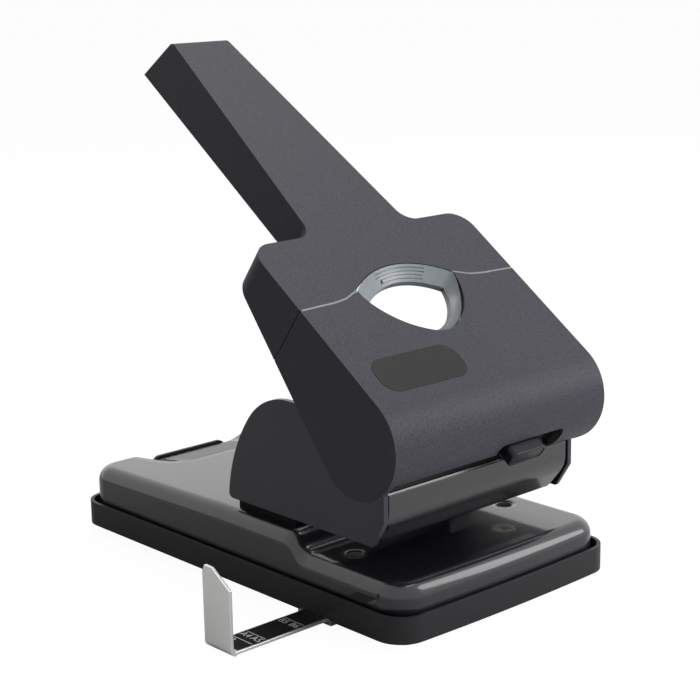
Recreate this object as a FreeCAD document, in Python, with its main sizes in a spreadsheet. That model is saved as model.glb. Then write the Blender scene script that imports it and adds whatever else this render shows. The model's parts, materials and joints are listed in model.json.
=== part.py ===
import FreeCAD, Part
import math
import os
import re
import Sketcher
from FreeCAD import Placement, Rotation, Vector

# Heavy duty two-hole punch, in millimetres.
# Origin: on the standing plane, midway between the two punches. +X right, +Y to the lever, +Z up.

# Driving dimensions
SIZES = [
    # Paper and punching
    ("hole_spacing", 80.0, "distance between the two punched holes"),
    ("pin_radius", 3.0, "cutting pins"),
    ("paper_margin", 12.0, "hole centre to the edge of the paper"),
    ("throat", 10.2, "height of the paper slot"),
    # Feet and chip tray
    ("foot_height", 3.2, "standing plane to the lower edge of the tray"),
    ("foot_radius", 6.5, "rubber feet"),
    ("foot_chamfer", 0.6, "chamfer of the feet"),
    ("foot_side", 44.0, "feet, from the middle"),
    ("foot_front", 29.0, "front feet, before the hole line"),
    ("foot_rear", 140.0, "rear feet, behind the hole line"),
    ("tray_front", 42.0, "front edge of the tray, before the hole line"),
    ("tray_rear", 153.3, "rear edge of the tray, behind the hole line"),
    ("front_bow", 1.6, "how far the front edge bulges"),
    ("tray_corner", 10.5, "plan corner radius of the tray"),
    ("tray_margin", 7.2, "the tray beyond the outer face of a cheek"),
    ("rim_height", 9.9, "height of the tray's rim"),
    ("tray_wall", 1.5, "wall of the tray"),
    ("floor_raise", 1.6, "lower edge of the tray to the underside of its floor"),
    ("tray_floor", 1.5, "thickness of the tray's floor"),
    ("tab_half", 20.0, "half width of the pull tab"),
    ("tab_height", 19.7, "top of the pull tab above the tray's lower edge"),
    ("tab_corner", 4.0, "corner radius of the pull tab"),
    # Base pan
    ("pan_gap", 1.1, "gap between the tray's rim and the pan"),
    ("pan_seat", 0.2, "gap between the tray's floor and the pan"),
    ("pan_sheet", 1.2, "sheet of the pan"),
    ("table_top", 23.2, "top of the paper table"),
    ("deck_rise", 6.5, "rise of the step from the table to the deck"),
    ("step_run", 12.0, "length of the step"),
    ("deck_flat", 38.0, "level stretch of the deck behind the step"),
    ("deck_fall", 2.4, "fall of the deck to the rear"),
    ("pan_round", 6.0, "rounding of the pan's upper edges"),
    ("pan_corner", 11.5, "plan corner radius of the pan"),
    ("hollow_half", 38.0, "half width of the hollow in the deck"),
    ("hollow_depth", 5.8, "depth of the hollow at the rear edge"),
    ("hollow_front", 116.5, "where the hollow's form starts, behind the hole line"),
    ("hollow_lead", 1.0, "how far above the deck it starts"),
    ("table_hole", 3.2, "radius of the pan's punch holes"),
    # Dies
    ("die_thick", 3.0, "thickness of the die plate"),
    ("die_in", 0.6, "die plate inside the flat of the table"),
    ("die_rear", 9.0, "rear edge of the die plate, behind the hole line"),
    ("die_deep", 11.0, "half depth of the die plate"),
    ("die_clear", 0.04, "radial clearance between pin and die"),
    # Frame
    ("cheek_sheet", 2.2, "sheet of the cheeks"),
    ("collar_gap", 2.9, "gap between a pin's collar and a cheek"),
    ("cheek_front", 25.9, "front edge of the cheeks, before the hole line"),
    ("cheek_foot", 19.7, "front end of the cheeks' lower edge, before the hole line"),
    ("knee_height", 43.2, "height of the cheeks' front knee"),
    ("cheek_round_y", 24.7, "centre of the cheeks' upper rear round, behind the hole line"),
    ("cheek_round_z", 49.7, "height of that centre"),
    ("cheek_round", 28.7, "radius of the cheeks' upper rear round"),
    ("cheek_rear", 63.3, "radius of the cheeks' rear edge below it"),
    ("cheek_turn", 38.5, "angle above level where the two radii meet"),
    ("cheek_crown", 14.5, "radius of the cheeks' top round the pivot"),
    ("flange_in", 14.0, "width of the cheeks' foot flanges"),
    ("flange_front", 27.0, "front end of the flanges"),
    ("flange_rear", 56.0, "rear end of the flanges"),
    ("plate_sheet", 2.0, "sheet of the front plate"),
    ("plate_set", 0.4, "front plate behind the cheeks' front edge"),
    ("plate_fit", 0.8, "gap between the front plate and a cheek"),
    ("plate_corner", 4.3, "slanted lower corners of the front plate"),
    ("catch_left", 18.5, "left end of the lock's catch, from the middle"),
    ("catch_right", 33.0, "right end of the lock's catch, from the middle"),
    ("catch_out", 4.0, "how far the catch stands before the front plate"),
    ("catch_rise", 4.0, "top of the front plate and its catch, above the pivot"),
    ("plate_neck", 53.0, "upper edge of the front plate beside the neck of its catch"),
    ("bridge_sheet", 2.5, "sheet of the guide bridge"),
    ("bridge_half_deep", 11.0, "half depth of the guide bridge"),
    ("bridge_low", 33.6, "underside of the guide bridge"),
    ("bridge_high", 47.6, "top of the guide bridge"),
    ("bush_radius", 5.0, "guide bushes"),
    ("bush_flange", 6.6, "flange radius of the guide bushes"),
    ("bush_lip", 1.5, "flange thickness of the guide bushes"),
    ("pin_clear", 0.05, "radial clearance between pin and bush"),
    ("spacer_front", 25.0, "front edge of the frame spacer"),
    ("spacer_rear", 58.0, "rear edge of the frame spacer"),
    ("spacer_in", 3.0, "ends of the frame spacer inside the cheeks' outer faces"),
    ("spacer_sheet", 1.6, "thickness of the spacer's upturned front edge"),
    ("spacer_high", 10.5, "top of that edge above the cheeks' lower edge"),
    ("spacer_side_gap", 0.8, "gap between that edge and the cheeks' flanges"),
    ("screw_radius", 2.0, "frame screws"),
    ("screw_head", 3.8, "head radius of the frame screws"),
    ("screw_head_high", 2.2, "head height of the frame screws"),
    ("screw_head_chamfer", 0.9, "chamfer of those heads"),
    ("screw_in", 9.0, "frame screws inside the cheeks' outer faces"),
    ("screw_play", 0.1, "radial play of the frame screws"),
    ("screw_end", 1.5, "frame screws beyond their nuts"),
    ("screw_front", 32.0, "front frame screws"),
    ("screw_rear", 51.0, "rear frame screws"),
    ("nut_high", 3.0, "height of the frame nuts"),
    ("nut_radius", 4.0, "corner radius of the frame nuts"),
    # Pivot and lever, in the lever's own frame with its top level
    ("pivot_y", -17.7, "pivot, behind the hole line"),
    ("pivot_z", 71.0, "height of the pivot"),
    ("rest_angle", 36.1, "angle of the lever at rest"),
    ("shaft_radius", 4.0, "pivot shaft"),
    ("shaft_clear", 0.04, "radial clearance of the bushes on the shaft"),
    ("clip_thick", 0.9, "retaining clips"),
    ("clip_play", 0.1, "gap between a clip and its cheek"),
    ("shaft_end", 0.9, "shaft beyond a clip"),
    ("clip_radius", 6.4, "outer radius of the retaining clips"),
    ("groove_radius", 3.2, "groove for the retaining clips"),
    ("clip_mouth", 2.5, "half width of the clips' mouth"),
    ("head_round", 19.8, "radius of the head's front"),
    ("head_gap", 2.5, "gap between a cheek and the head's wall"),
    ("head_long", 82.0, "pivot to the rear edge of the head"),
    ("head_corner", 9.0, "plan radius of the head's rear corners"),
    ("under_slope", 16.6, "slope of the head's underside"),
    ("shell_wall", 2.5, "wall of the mouldings"),
    ("head_edge", 1.2, "rounding of the head's edges"),
    ("seam_at", 48.2, "pivot to the seam between the mouldings"),
    ("seam_bend", 12.0, "length of the seam's bend beside the finger hole"),
    ("seam_gap", 0.25, "gap at the seam"),
    ("neck_half", 23.7, "half width of the lever at its neck"),
    ("neck_at", 90.0, "pivot to the neck"),
    ("neck_round", 7.0, "fillet at the neck"),
    ("tip_half", 13.2, "half width of the lever at its tip"),
    ("tip_at", 208.3, "pivot to the tip of the lever"),
    ("tip_slant", 9.1, "how far the tip's end face leans"),
    ("tip_wall_lean", 3.0, "lean of the tip wall's inner face"),
    ("tip_round", 3.0, "rounding of the tip's upper edge"),
    ("tip_top", 16.8, "top of the lever above the pivot, at its tip"),
    ("lever_low", 2.1, "underside of the lever above the pivot, at its neck"),
    ("tip_low", 7.2, "underside of the lever below the pivot, at its tip"),
    # Finger hole
    ("hole_corner_x", 25.2, "rear corners of the finger hole, from the middle"),
    ("hole_corner_s", 52.0, "rear corners of the finger hole, from the pivot"),
    ("hole_rear", 61.3, "rear edge of the finger hole"),
    ("hole_side_x", 18.6, "middle of the hole's sides, from the middle"),
    ("hole_side_s", 37.0, "middle of the hole's sides, from the pivot"),
    ("hole_nose_x", 6.5, "ends of the hole's front round, from the middle"),
    ("hole_nose_s", 27.4, "ends of the hole's front round, from the pivot"),
    ("hole_front", 25.7, "front edge of the finger hole"),
    ("surround_deep", 7.0, "depth of the finger hole's surround"),
    ("surround_slope", 4.8, "depth of its sloping wall"),
    ("surround_skew", 1.0, "lower edge of the sloping wall, shifted to the front"),
    ("surround_fit", 0.2, "gap between the surround and the mouldings"),
    ("surround_lip", 1.1, "wall of the surround at its top"),
    ("surround_flare", 37.0, "slope of the surround's inner wall"),
    # Chassis
    ("chassis_sheet", 2.0, "sheet of the lever chassis"),
    ("chassis_gap", 0.5, "gap between the chassis and a cheek"),
    ("chassis_top", 15.4, "top of the chassis above the pivot"),
    ("ear_flat", 0.4, "flat of the ears under the shaft"),
    ("ear_radius", 5.4, "radius of the chassis ears round the shaft"),
    ("chassis_rear", 76.0, "pivot to the rear of the wide chassis"),
    ("chassis_web_front", 2.0, "pivot to the front of the chassis web"),
    ("skirt_rear", 8.0, "lower edge of the chassis' sides at their rear, above the pivot"),
    ("skirt_bend", 46.0, "pivot to the bend of that edge"),
    ("skirt_low", 4.0, "that edge above the pivot, at the bend"),
    ("arm_front", 6.0, "front of the arms, before the drive bar"),
    ("arm_rear", 9.0, "rear of the arms, behind the drive bar"),
    ("arm_web", 2.6, "web of the arms round the drive bar"),
    ("window_margin", 1.6, "chassis round the finger hole's surround"),
    ("spine_half", 8.0, "half width of the chassis spine in the lever"),
    ("spine_deep", 8.0, "depth of the spine"),
    ("spine_root", 10.0, "how far the spine reaches into the wide chassis"),
    ("spine_seat", 0.05, "screw heads under the falling spine"),
    ("spine_end", 178.0, "pivot to the end of the spine"),
    ("spine_fall", 1.4, "fall of the spine to its end"),
    ("boss_radius", 3.2, "screw bosses inside the mouldings"),
    ("boss_seat", 0.06, "bosses above the falling spine"),
    ("boss_room", 0.2, "depth of the bosses' holes beyond the screws"),
    ("boss_front_x", 33.0, "front bosses, from the middle"),
    ("boss_front", 13.0, "front bosses, from the pivot"),
    ("boss_side", 36.0, "side bosses, from the middle"),
    ("boss_side_front", 36.0, "side bosses before the seam, from the pivot"),
    ("boss_side_rear", 66.0, "side bosses behind the seam, from the pivot"),
    ("boss_neck", 104.0, "boss at the lever's neck, from the pivot"),
    ("boss_tip", 168.0, "boss at the lever's tip, from the pivot"),
    ("bar_radius", 4.0, "drive bar"),
    ("bar_arm", 21.5, "pivot to the drive bar"),
    ("bar_angle", 32.0, "angle of the drive bar above level at rest"),
    ("bush_wall", 0.9, "wall of the lever bushes"),
    ("chassis_screw", 1.5, "radius of the screws of the mouldings"),
    ("chassis_screw_head", 2.9, "head radius of those screws"),
    ("chassis_head_high", 1.4, "head height of those screws"),
    ("chassis_screw_deep", 1.7, "how far they enter the bosses"),
    # Pins and springs
    ("pin_tip", 34.0, "height of the pins' tips at rest"),
    ("drive_gap", 0.3, "gap between the drive bar and the pins"),
    ("collar_radius", 4.9, "collar of the pins"),
    ("collar_high", 4.0, "height of the collar"),
    ("collar_chamfer", 0.6, "chamfer of the collar"),
    ("pin_hollow", 0.9, "hollow of the pins' cutting ends"),
    ("spring_radius", 4.15, "mean radius of the pin springs"),
    ("spring_wire", 0.6, "wire radius of the pin springs"),
    ("spring_turns", 6.0, "turns of the pin springs"),
    ("spring_play", 0.05, "gap at the ends of the springs"),
    # Lock
    ("slot_left", -1.0, "left end of the button slot"),
    ("slot_right", 34.5, "right end of the button slot"),
    ("slot_angle", 11.6, "upper edge of the button slot, above level"),
    ("lip_drop", 6.6, "front wall below the pivot, beyond the slot's right end"),
    ("button_left", 2.6, "left side of the button at rest"),
    ("button_wide", 18.8, "width of the button"),
    ("button_out", 4.5, "how far the button stands out"),
    ("button_half_high", 3.3, "half height of the button"),
    ("button_corner", 3.0, "corner radius of the button"),
    ("button_edge", 0.5, "rounding of the button's front edge"),
    ("lock_bar_front", 16.0, "front face of the lock bar, from the pivot"),
    ("lock_sheet", 1.6, "sheet of the lock bar"),
    ("lock_fit", 0.3, "gap between the lock bar and its rails"),
    ("lock_wing", 8.0, "lock bar beyond the button, on each side"),
    ("lock_over", 4.0, "rails beyond the lock bar's travel"),
    ("lock_bar_low", 3.9, "lower edge of the lock bar, below the pivot"),
    ("lock_bar_high", 6.5, "height of the lock bar"),
    ("rib_low", 1.0, "underside of the lock bar's rib, below the pivot"),
    ("rib_high", 1.2, "height of that rib"),
    ("rib_back", 0.2, "rib short of the rails' rear faces"),
    ("rail_low", 3.0, "underside of the lower rail, below the pivot"),
    ("rail_lower_high", 1.7, "height of the lower rail"),
    ("rail_up", 0.5, "underside of the upper rail, above the pivot"),
    ("rail_upper_high", 2.1, "height of the upper rail"),
    ("rail_end", 2.0, "thickness of the rails' end walls"),
    ("rail_sheet", 1.2, "thickness of the lock bar's rails"),
    ("tongue_left", 3.0, "left side of the tongue that goes over the catch"),
    ("tongue_wide", 12.0, "width of the tongue"),
    ("tongue_long", 7.0, "length of the tongue"),
    ("tongue_root", 1.0, "how far the tongue's riser reaches down the bar"),
    ("lock_run", 12.8, "travel of the lock button"),
    # Paper guide
    ("strip_wide", 13.0, "width of the guide's strip"),
    ("strip_thick", 1.2, "sheet of the paper guide"),
    ("guide_bend", 2.4, "outer radius of the guide's bend"),
    ("strip_low", 1.3, "height of the strip's underside"),
    ("strip_rear", 12.4, "rear edge of the strip, behind the hole line"),
    ("strip_long", 112.0, "length of the strip"),
    ("stop_out", 100.0, "outer face of the stop at rest, from the middle"),
    ("stop_wide", 15.0, "width of the stop"),
    ("stop_high", 32.0, "top of the stop"),
    ("stop_cut", 9.5, "width of the slanted cut at the stop's top"),
    ("stop_cut_high", 6.2, "height of that cut"),
    ("channel_in", 15.0, "inner end of the guide channel, from the middle"),
    ("channel_side", 7.0, "flange of the guide channel beside the strip"),
    ("channel_flange", 1.6, "thickness of the guide channel's flanges"),
    ("channel_lip_thick", 0.7, "thickness of its lips"),
    ("channel_screw_in", 6.0, "inner screws, from the channel's inner end"),
    ("channel_screw_out", 6.5, "outer screws, from the channel's outer end"),
    ("notch_front", 6.5, "tray's notch before the strip"),
    ("notch_rear", 0.4, "tray's notch behind the strip"),
    ("channel_screw", 1.05, "radius of the channel's screws"),
    ("channel_head", 1.9, "head radius of those screws"),
    ("channel_head_high", 1.2, "head height of those screws"),
    ("pilot_deep", 1.3, "depth of their holes in the tray's floor"),
    ("pilot_end", 0.1, "room beyond their ends"),
    ("channel_lip", 2.4, "lip of the channel under the strip"),
    ("guide_fit", 0.2, "running gap round the strip"),
]

# Sizes that follow from the driving dimensions
WORKED_OUT = {
    "half_spacing": "hole_spacing / 2",
    "cheek_inner": "half_spacing + collar_radius + collar_gap",
    "cheek_outer": "cheek_inner + cheek_sheet",
    "cheek_low": "table_top + throat",
    "head_half": "cheek_outer + head_gap + shell_wall",
    "tray_half": "cheek_outer + tray_margin",
    "pan_half": "tray_half - tray_wall - pan_gap",
    "die_half": "pan_half - pan_round - die_in",
    "floor_under": "foot_height + floor_raise",
    "floor_top": "floor_under + tray_floor",
    "rim_top": "foot_height + rim_height",
    "deck_top": "table_top + deck_rise",
    "pan_under": "deck_top - pan_sheet",
    "flange_top": "cheek_low + cheek_sheet",
    "cheek_top": "cheek_round_z + cheek_round",
    "turn_y": "cheek_round_y + cheek_round * cos(cheek_turn)",
    "turn_z": "cheek_round_z + cheek_round * sin(cheek_turn)",
    "rear_centre_y": "cheek_round_y - (cheek_rear - cheek_round) * cos(cheek_turn)",
    "rear_centre_z": "cheek_round_z - (cheek_rear - cheek_round) * sin(cheek_turn)",
    "rear_foot": "rear_centre_y + sqrt(cheek_rear ^ 2 - (rear_centre_z - cheek_low) ^ 2)",
    "plate_half": "cheek_inner - plate_fit",
    "plate_front": "-cheek_front + plate_set",
    "plate_top": "pivot_z + catch_rise",
    "plate_slope": "(cheek_front - cheek_foot) / (knee_height - cheek_low)",
    "spacer_half": "cheek_outer - spacer_in",
    "screw_x": "cheek_outer - screw_in",
    "screw_low": "pan_under - nut_high - screw_end",
    "clip_start": "cheek_outer + clip_play",
    "clip_end": "clip_start + clip_thick",
    "shaft_half": "clip_end + shaft_end",
    "crown_front": "pivot_z + sqrt(cheek_crown ^ 2 - (cheek_front + pivot_y) ^ 2)",
    "crown_rear": "pivot_y + sqrt(cheek_crown ^ 2 - (cheek_top - pivot_z) ^ 2)",
    "chassis_half": "cheek_inner - chassis_gap",
    "bush_bore": "shaft_radius + shaft_clear",
    "bush_outer": "bush_bore + bush_wall",
    "bar_y": "bar_arm * cos(bar_angle - rest_angle)",
    "bar_z": "bar_arm * sin(bar_angle - rest_angle)",
    "pin_top": "pivot_z + bar_arm * sin(bar_angle) - bar_radius - drive_gap",
    "collar_low": "pin_top - collar_high",
    "catch_top": "catch_rise + lock_fit",
    "lock_back": "lock_sheet - lock_bar_front",
    "strip_front": "strip_rear - strip_wide",
    "strip_top": "strip_low + strip_thick",
    "strip_middle": "strip_rear - strip_wide / 2",
    "channel_out": "tray_half - tray_wall - guide_fit",
    "channel_low": "floor_under - channel_flange",
}

doc = FreeCAD.newDocument("HolePunch")
sheet = doc.addObject("Spreadsheet::Sheet", "Sizes")
for row, (alias, number, words) in enumerate(SIZES, start=1):
    sheet.set("A%d" % row, str(number))
    sheet.setAlias("A%d" % row, alias)
    sheet.set("B%d" % row, words)
doc.recompute()
ALIASES = {alias for alias, number, words in SIZES}
nodes = []


def formula_of(match):
    name = match.group(0)
    return "(%s)" % WORKED_OUT[name] if name in WORKED_OUT else name


def spelled(expression):
    """An expression with every worked-out size replaced by its formula."""
    longer = re.sub(r"[a-z_]+", formula_of, expression)
    return expression if longer == expression else spelled(longer)


def v(expression):
    """The number that an expression of sizes gives."""
    return float(sheet.evalExpression(spelled(expression)))


def bound(expression):
    """The same expression as other objects of the document write it."""
    return re.sub(r"[a-z_]+", lambda m: "Sizes." + m.group(0) if m.group(0) in ALIASES else m.group(0),
                  spelled(expression))


def keep(thing, label):
    """Names a sub-part and lists it for export."""
    thing.Label = label
    nodes.append(thing)
    return thing


# Sketches: every corner of a polygon is held by expressions
def plane_of(body, role):
    return [f for f in body.Origin.OriginFeatures if f.Role == role + "_Plane"][0]


def new_sketch(body, name, role, lift):
    sketch = body.newObject("Sketcher::SketchObject", name)
    sketch.AttachmentSupport = [(plane_of(body, role), "")]
    sketch.MapMode = "FlatFace"
    sketch.setExpression("AttachmentOffset.Base.z", bound(lift))
    return sketch


def angle_of(way):
    return math.atan2(way.y, way.x)


def add_polygon(sketch, corners, bends={}):
    """A closed outline. A side listed in bends is an arc of that radius, bulging to the left of its way."""
    points = [Vector(v(x), v(y), 0) for x, y in corners]
    first = sketch.GeometryCount
    ends = []
    for index, point in enumerate(points):
        following = points[(index + 1) % len(points)]
        if index in bends:
            radius = v(bends[index])
            half = (following - point) * 0.5
            aside = Vector(half.y, -half.x, 0).normalize()
            centre = point + half + aside * math.sqrt(radius ** 2 - half.Length ** 2)
            circle = Part.Circle(centre, Vector(0, 0, 1), radius)
            side = Part.ArcOfCircle(circle, angle_of(following - centre), angle_of(point - centre))
            ends.append((2, 1))
        else:
            side = Part.LineSegment(point, following)
            ends.append((1, 2))
        sketch.addGeometry(side, False)
    for index in range(len(points)):
        following = (index + 1) % len(points)
        sketch.addConstraint(Sketcher.Constraint(
            "Coincident", first + index, ends[index][1], first + following, ends[following][0]))
    for index, (x, y) in enumerate(corners):
        for kind, size in (("DistanceX", x), ("DistanceY", y)):
            number = sketch.addConstraint(Sketcher.Constraint(
                kind, -1, 1, first + index, ends[index][0], v(size)))
            sketch.setExpression("Constraints[%d]" % number, bound(size))
    for index, radius in bends.items():
        number = sketch.addConstraint(Sketcher.Constraint("Radius", first + index, v(radius)))
        sketch.setExpression("Constraints[%d]" % number, bound(radius))


def add_circle(sketch, x, y, radius):
    index = sketch.addGeometry(Part.Circle(Vector(v(x), v(y), 0), Vector(0, 0, 1), v(radius)), False)
    for kind, size in (("DistanceX", x), ("DistanceY", y)):
        number = sketch.addConstraint(Sketcher.Constraint(kind, -1, 1, index, 3, v(size)))
        sketch.setExpression("Constraints[%d]" % number, bound(size))
    number = sketch.addConstraint(Sketcher.Constraint("Radius", index, v(radius)))
    sketch.setExpression("Constraints[%d]" % number, bound(radius))


def pad(body, sketch, name, length, middle=False, backward=False):
    feature = body.newObject("PartDesign::Pad", name)
    feature.Profile = sketch
    feature.setExpression("Length", bound(length))
    feature.SideType = "Symmetric" if middle else "One side"
    feature.Reversed = backward
    sketch.Visibility = False
    doc.recompute()
    return feature


def pocket(body, sketch, name, length=None, backward=False):
    """Cuts a sketch's outline: through everything both ways, or to a depth."""
    before = body.Shape.Volume
    feature = body.newObject("PartDesign::Pocket", name)
    feature.Profile = sketch
    if length is None:
        feature.Type = "ThroughAll"
        feature.SideType = "Symmetric"
    else:
        feature.setExpression("Length", bound(length))
        feature.Reversed = backward
    doc.recompute()
    if not body.Shape.Volume < before - 1e-6:
        raise RuntimeError(name + " cuts nothing")
    return feature


def turned(body, sketch, name, axis):
    """A solid of revolution about one of the sketch's own axes."""
    feature = body.newObject("PartDesign::Revolution", name)
    feature.Profile = sketch
    feature.ReferenceAxis = (sketch, [axis])
    feature.Angle = 360
    sketch.Visibility = False
    doc.recompute()
    return feature


def eased(body, kind, name, size, wanted):
    """A Fillet or Chamfer on the edges of the body's last feature that the test picks."""
    tip = body.Tip
    picked = ["Edge%d" % (i + 1) for i, edge in enumerate(tip.Shape.Edges) if wanted(edge)]
    if not picked:
        raise RuntimeError(name + " finds no edge")
    feature = body.newObject("PartDesign::" + kind, name)
    feature.Base = (tip, picked)
    feature.setExpression("Radius" if kind == "Fillet" else "Size", bound(size))
    doc.recompute()
    return feature


def round_pad(body, name, places, radii, lift, length, role="XY"):
    """A disc, or a ring of two radii, padded at each place."""
    sketch = new_sketch(body, name + "_circles", role, lift)
    for x, y in places:
        for radius in radii:
            add_circle(sketch, x, y, radius)
    return pad(body, sketch, name, length)


def drill(body, name, places, radius, role="XY"):
    """Round holes through everything at each place."""
    sketch = new_sketch(body, name + "_circles", role, "0")
    for x, y in places:
        add_circle(sketch, x, y, radius)
    return pocket(body, sketch, name)


def rectangle(low_x, low_y, high_x, high_y):
    return [(low_x, low_y), (high_x, low_y), (high_x, high_y), (low_x, high_y)]


def middle_of(edge):
    return edge.valueAt((edge.FirstParameter + edge.LastParameter) / 2)


def direction_of(edge):
    """Unit direction of a straight edge, or None for a curved one."""
    if not isinstance(edge.Curve, Part.Line):
        return None
    way = edge.Vertexes[-1].Point - edge.Vertexes[0].Point
    return way.normalize()


def along(edge, axis):
    """Whether a straight edge runs along an axis, "x", "y" or "z"."""
    way = direction_of(edge)
    return way is not None and abs(getattr(way, axis)) > 0.999


def upright(edge):
    return along(edge, "z")


def new_body(label, group=False):
    """A PartDesign body; a group holds several separate solids, such as a set of screws."""
    body = doc.addObject("PartDesign::Body", label)
    body.AllowCompound = group
    return keep(body, label)


def put_at(thing, x, y, z):
    """Moves a sub-part's own frame to a place that follows the sheet."""
    for axis, size in (("x", x), ("y", y), ("z", z)):
        thing.setExpression("Placement.Base." + axis, bound(size))


def put_on_lever(thing):
    """Lays a sub-part into the lever's frame, at the pivot and leant back by the rest angle."""
    thing.Placement = LEVER
    put_at(thing, "0", "pivot_y", "pivot_z")
    thing.setExpression("Placement.Rotation.Angle", bound("rest_angle"))


def new_shape(label, shape, placement=None):
    """A sub-part whose shape is worked out here, because no sketch or primitive fits it."""
    thing = doc.addObject("Part::Feature", label)
    thing.Shape = shape
    if placement is not None:
        thing.Placement = placement
    return keep(thing, label)


UP = Vector(0, 0, 1)
RIGHT = Vector(1, 0, 0)
SIDES = ("-", "")
FAR = 70.0

# Heights worked out from the driving dimensions, for the shapes that no sketch fits
tray_low = v("foot_height")
floor_under = v("floor_under")
floor_top = v("floor_top")
rim_top = v("rim_top")
deck_top = v("deck_top")
half_spacing = v("half_spacing")
PIVOT = Vector(0, v("pivot_y"), v("pivot_z"))
LEVER = Placement(PIVOT, Rotation(RIGHT, v("rest_angle")))


def plan_face(inset, front, rear, half, corner):
    """Plan outline with a bowed front edge and round corners, drawn in by an inset."""
    side = half - inset
    low = -front + inset
    high = rear - inset
    bow = v("front_bow")
    radius = max(corner - inset, 0.5)
    arc = Part.Arc(Vector(-side, low + bow, 0), Vector(0, low, 0), Vector(side, low + bow, 0)).toShape()
    corners = [(side, low + bow), (side, high), (-side, high), (-side, low + bow)]
    points = [Vector(x, y, 0) for x, y in corners]
    lines = [Part.LineSegment(a, b).toShape() for a, b in zip(points, points[1:])]
    return Part.Face(Part.Wire([arc] + lines)), radius


def plan_block(inset, low, high, front, rear, half, corner):
    """An upright block on that plan outline."""
    face, radius = plan_face(inset, front, rear, half, corner)
    block = face.extrude(Vector(0, 0, high - low))
    block.translate(Vector(0, 0, low))
    return block.makeFillet(radius, [edge for edge in block.Edges if upright(edge)])


def tray_block(inset, low, high):
    return plan_block(inset, low, high, v("tray_front"), v("tray_rear"), v("tray_half"), v("tray_corner"))


# Screws of the guide channel, in plan
CHANNEL_SCREWS = [
    (x, y)
    for x in ("-channel_in - channel_screw_in", "-channel_out + channel_screw_out")
    for y in ("strip_front - channel_side * 2 / 3", "strip_rear + channel_side * 2 / 3")]


# Chip tray: rim, raised floor, pull tab at the rear, notch for the paper guide on the left
def make_chip_tray():
    wall = v("tray_wall")
    rear = v("tray_rear")
    tray = tray_block(0, tray_low, rim_top)
    tray = tray.cut(tray_block(wall, floor_top, rim_top + 1))
    tray = tray.cut(tray_block(wall, tray_low - 1, floor_under))
    half = v("tab_half")
    tab_high = v("tab_height - floor_raise")
    tab = Part.makeBox(2 * half, wall, tab_high, Vector(-half, rear - wall, floor_under))
    corners = [edge for edge in tab.Edges if along(edge, "y") and middle_of(edge).z > rim_top]
    tray = tray.fuse(tab.makeFillet(v("tab_corner"), corners)).removeSplitter()
    notch_long = v("strip_wide + notch_front + notch_rear")
    notch_start = v("strip_rear - strip_wide - notch_front")
    notch_top = v("strip_top + 6 * guide_fit")
    notch = Part.makeBox(3 * wall, notch_long, notch_top, Vector(-v("tray_half") - wall, notch_start, 0))
    tray = tray.cut(notch)
    for x, y in CHANNEL_SCREWS:
        hole = Vector(v(x), v(y), floor_under)
        tray = tray.cut(Part.makeCylinder(v("channel_screw"), v("pilot_deep"), hole))
    new_shape("chip_tray", tray)


make_chip_tray()
feet = new_body("rubber_feet", group=True)
FEET = [(side + "foot_side", y) for side in SIDES for y in ("-foot_front", "foot_rear")]
round_pad(feet, "foot_discs", FEET, ["foot_radius"], "0", "floor_under")
eased(feet, "Chamfer", "foot_chamfers", "foot_chamfer", lambda edge: middle_of(edge).z < 0.01)


# Paper guide: strip under the tray and an upright stop, bent from one sheet
def make_paper_guide():
    guide = new_body("paper_guide")
    strip = new_sketch(guide, "strip_outline", "XY", "strip_low")
    add_polygon(strip, rectangle("-stop_out", "strip_front", "strip_long - stop_out", "strip_rear"))
    pad(guide, strip, "strip_pad", "strip_thick")
    stop = new_sketch(guide, "stop_outline", "YZ", "-stop_out")
    stop_front = "strip_middle - stop_wide / 2"
    stop_rear = "strip_middle + stop_wide / 2"
    add_polygon(stop, [
        (stop_front, "strip_low"), (stop_front, "stop_high - stop_cut_high"),
        (stop_front + " + stop_cut", "stop_high"), (stop_rear + " - strip_thick", "stop_high"),
        (stop_rear, "stop_high - 2 * strip_thick"), (stop_rear, "strip_low")])
    pad(guide, stop, "stop_pad", "strip_thick")
    outer = -v("stop_out")
    low = v("strip_low")
    thick = v("strip_thick")

    def heel(edge):
        point = middle_of(edge)
        return along(edge, "y") and abs(point.x - outer) < 0.01 and abs(point.z - low) < 0.01

    def corner(edge):
        point = middle_of(edge)
        return along(edge, "y") and abs(point.x - outer - thick) < 0.01 and abs(point.z - low - thick) < 0.01

    eased(guide, "Fillet", "bend_outside", "guide_bend", heel)
    eased(guide, "Fillet", "bend_inside", "guide_bend - strip_thick", corner)


make_paper_guide()


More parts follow.
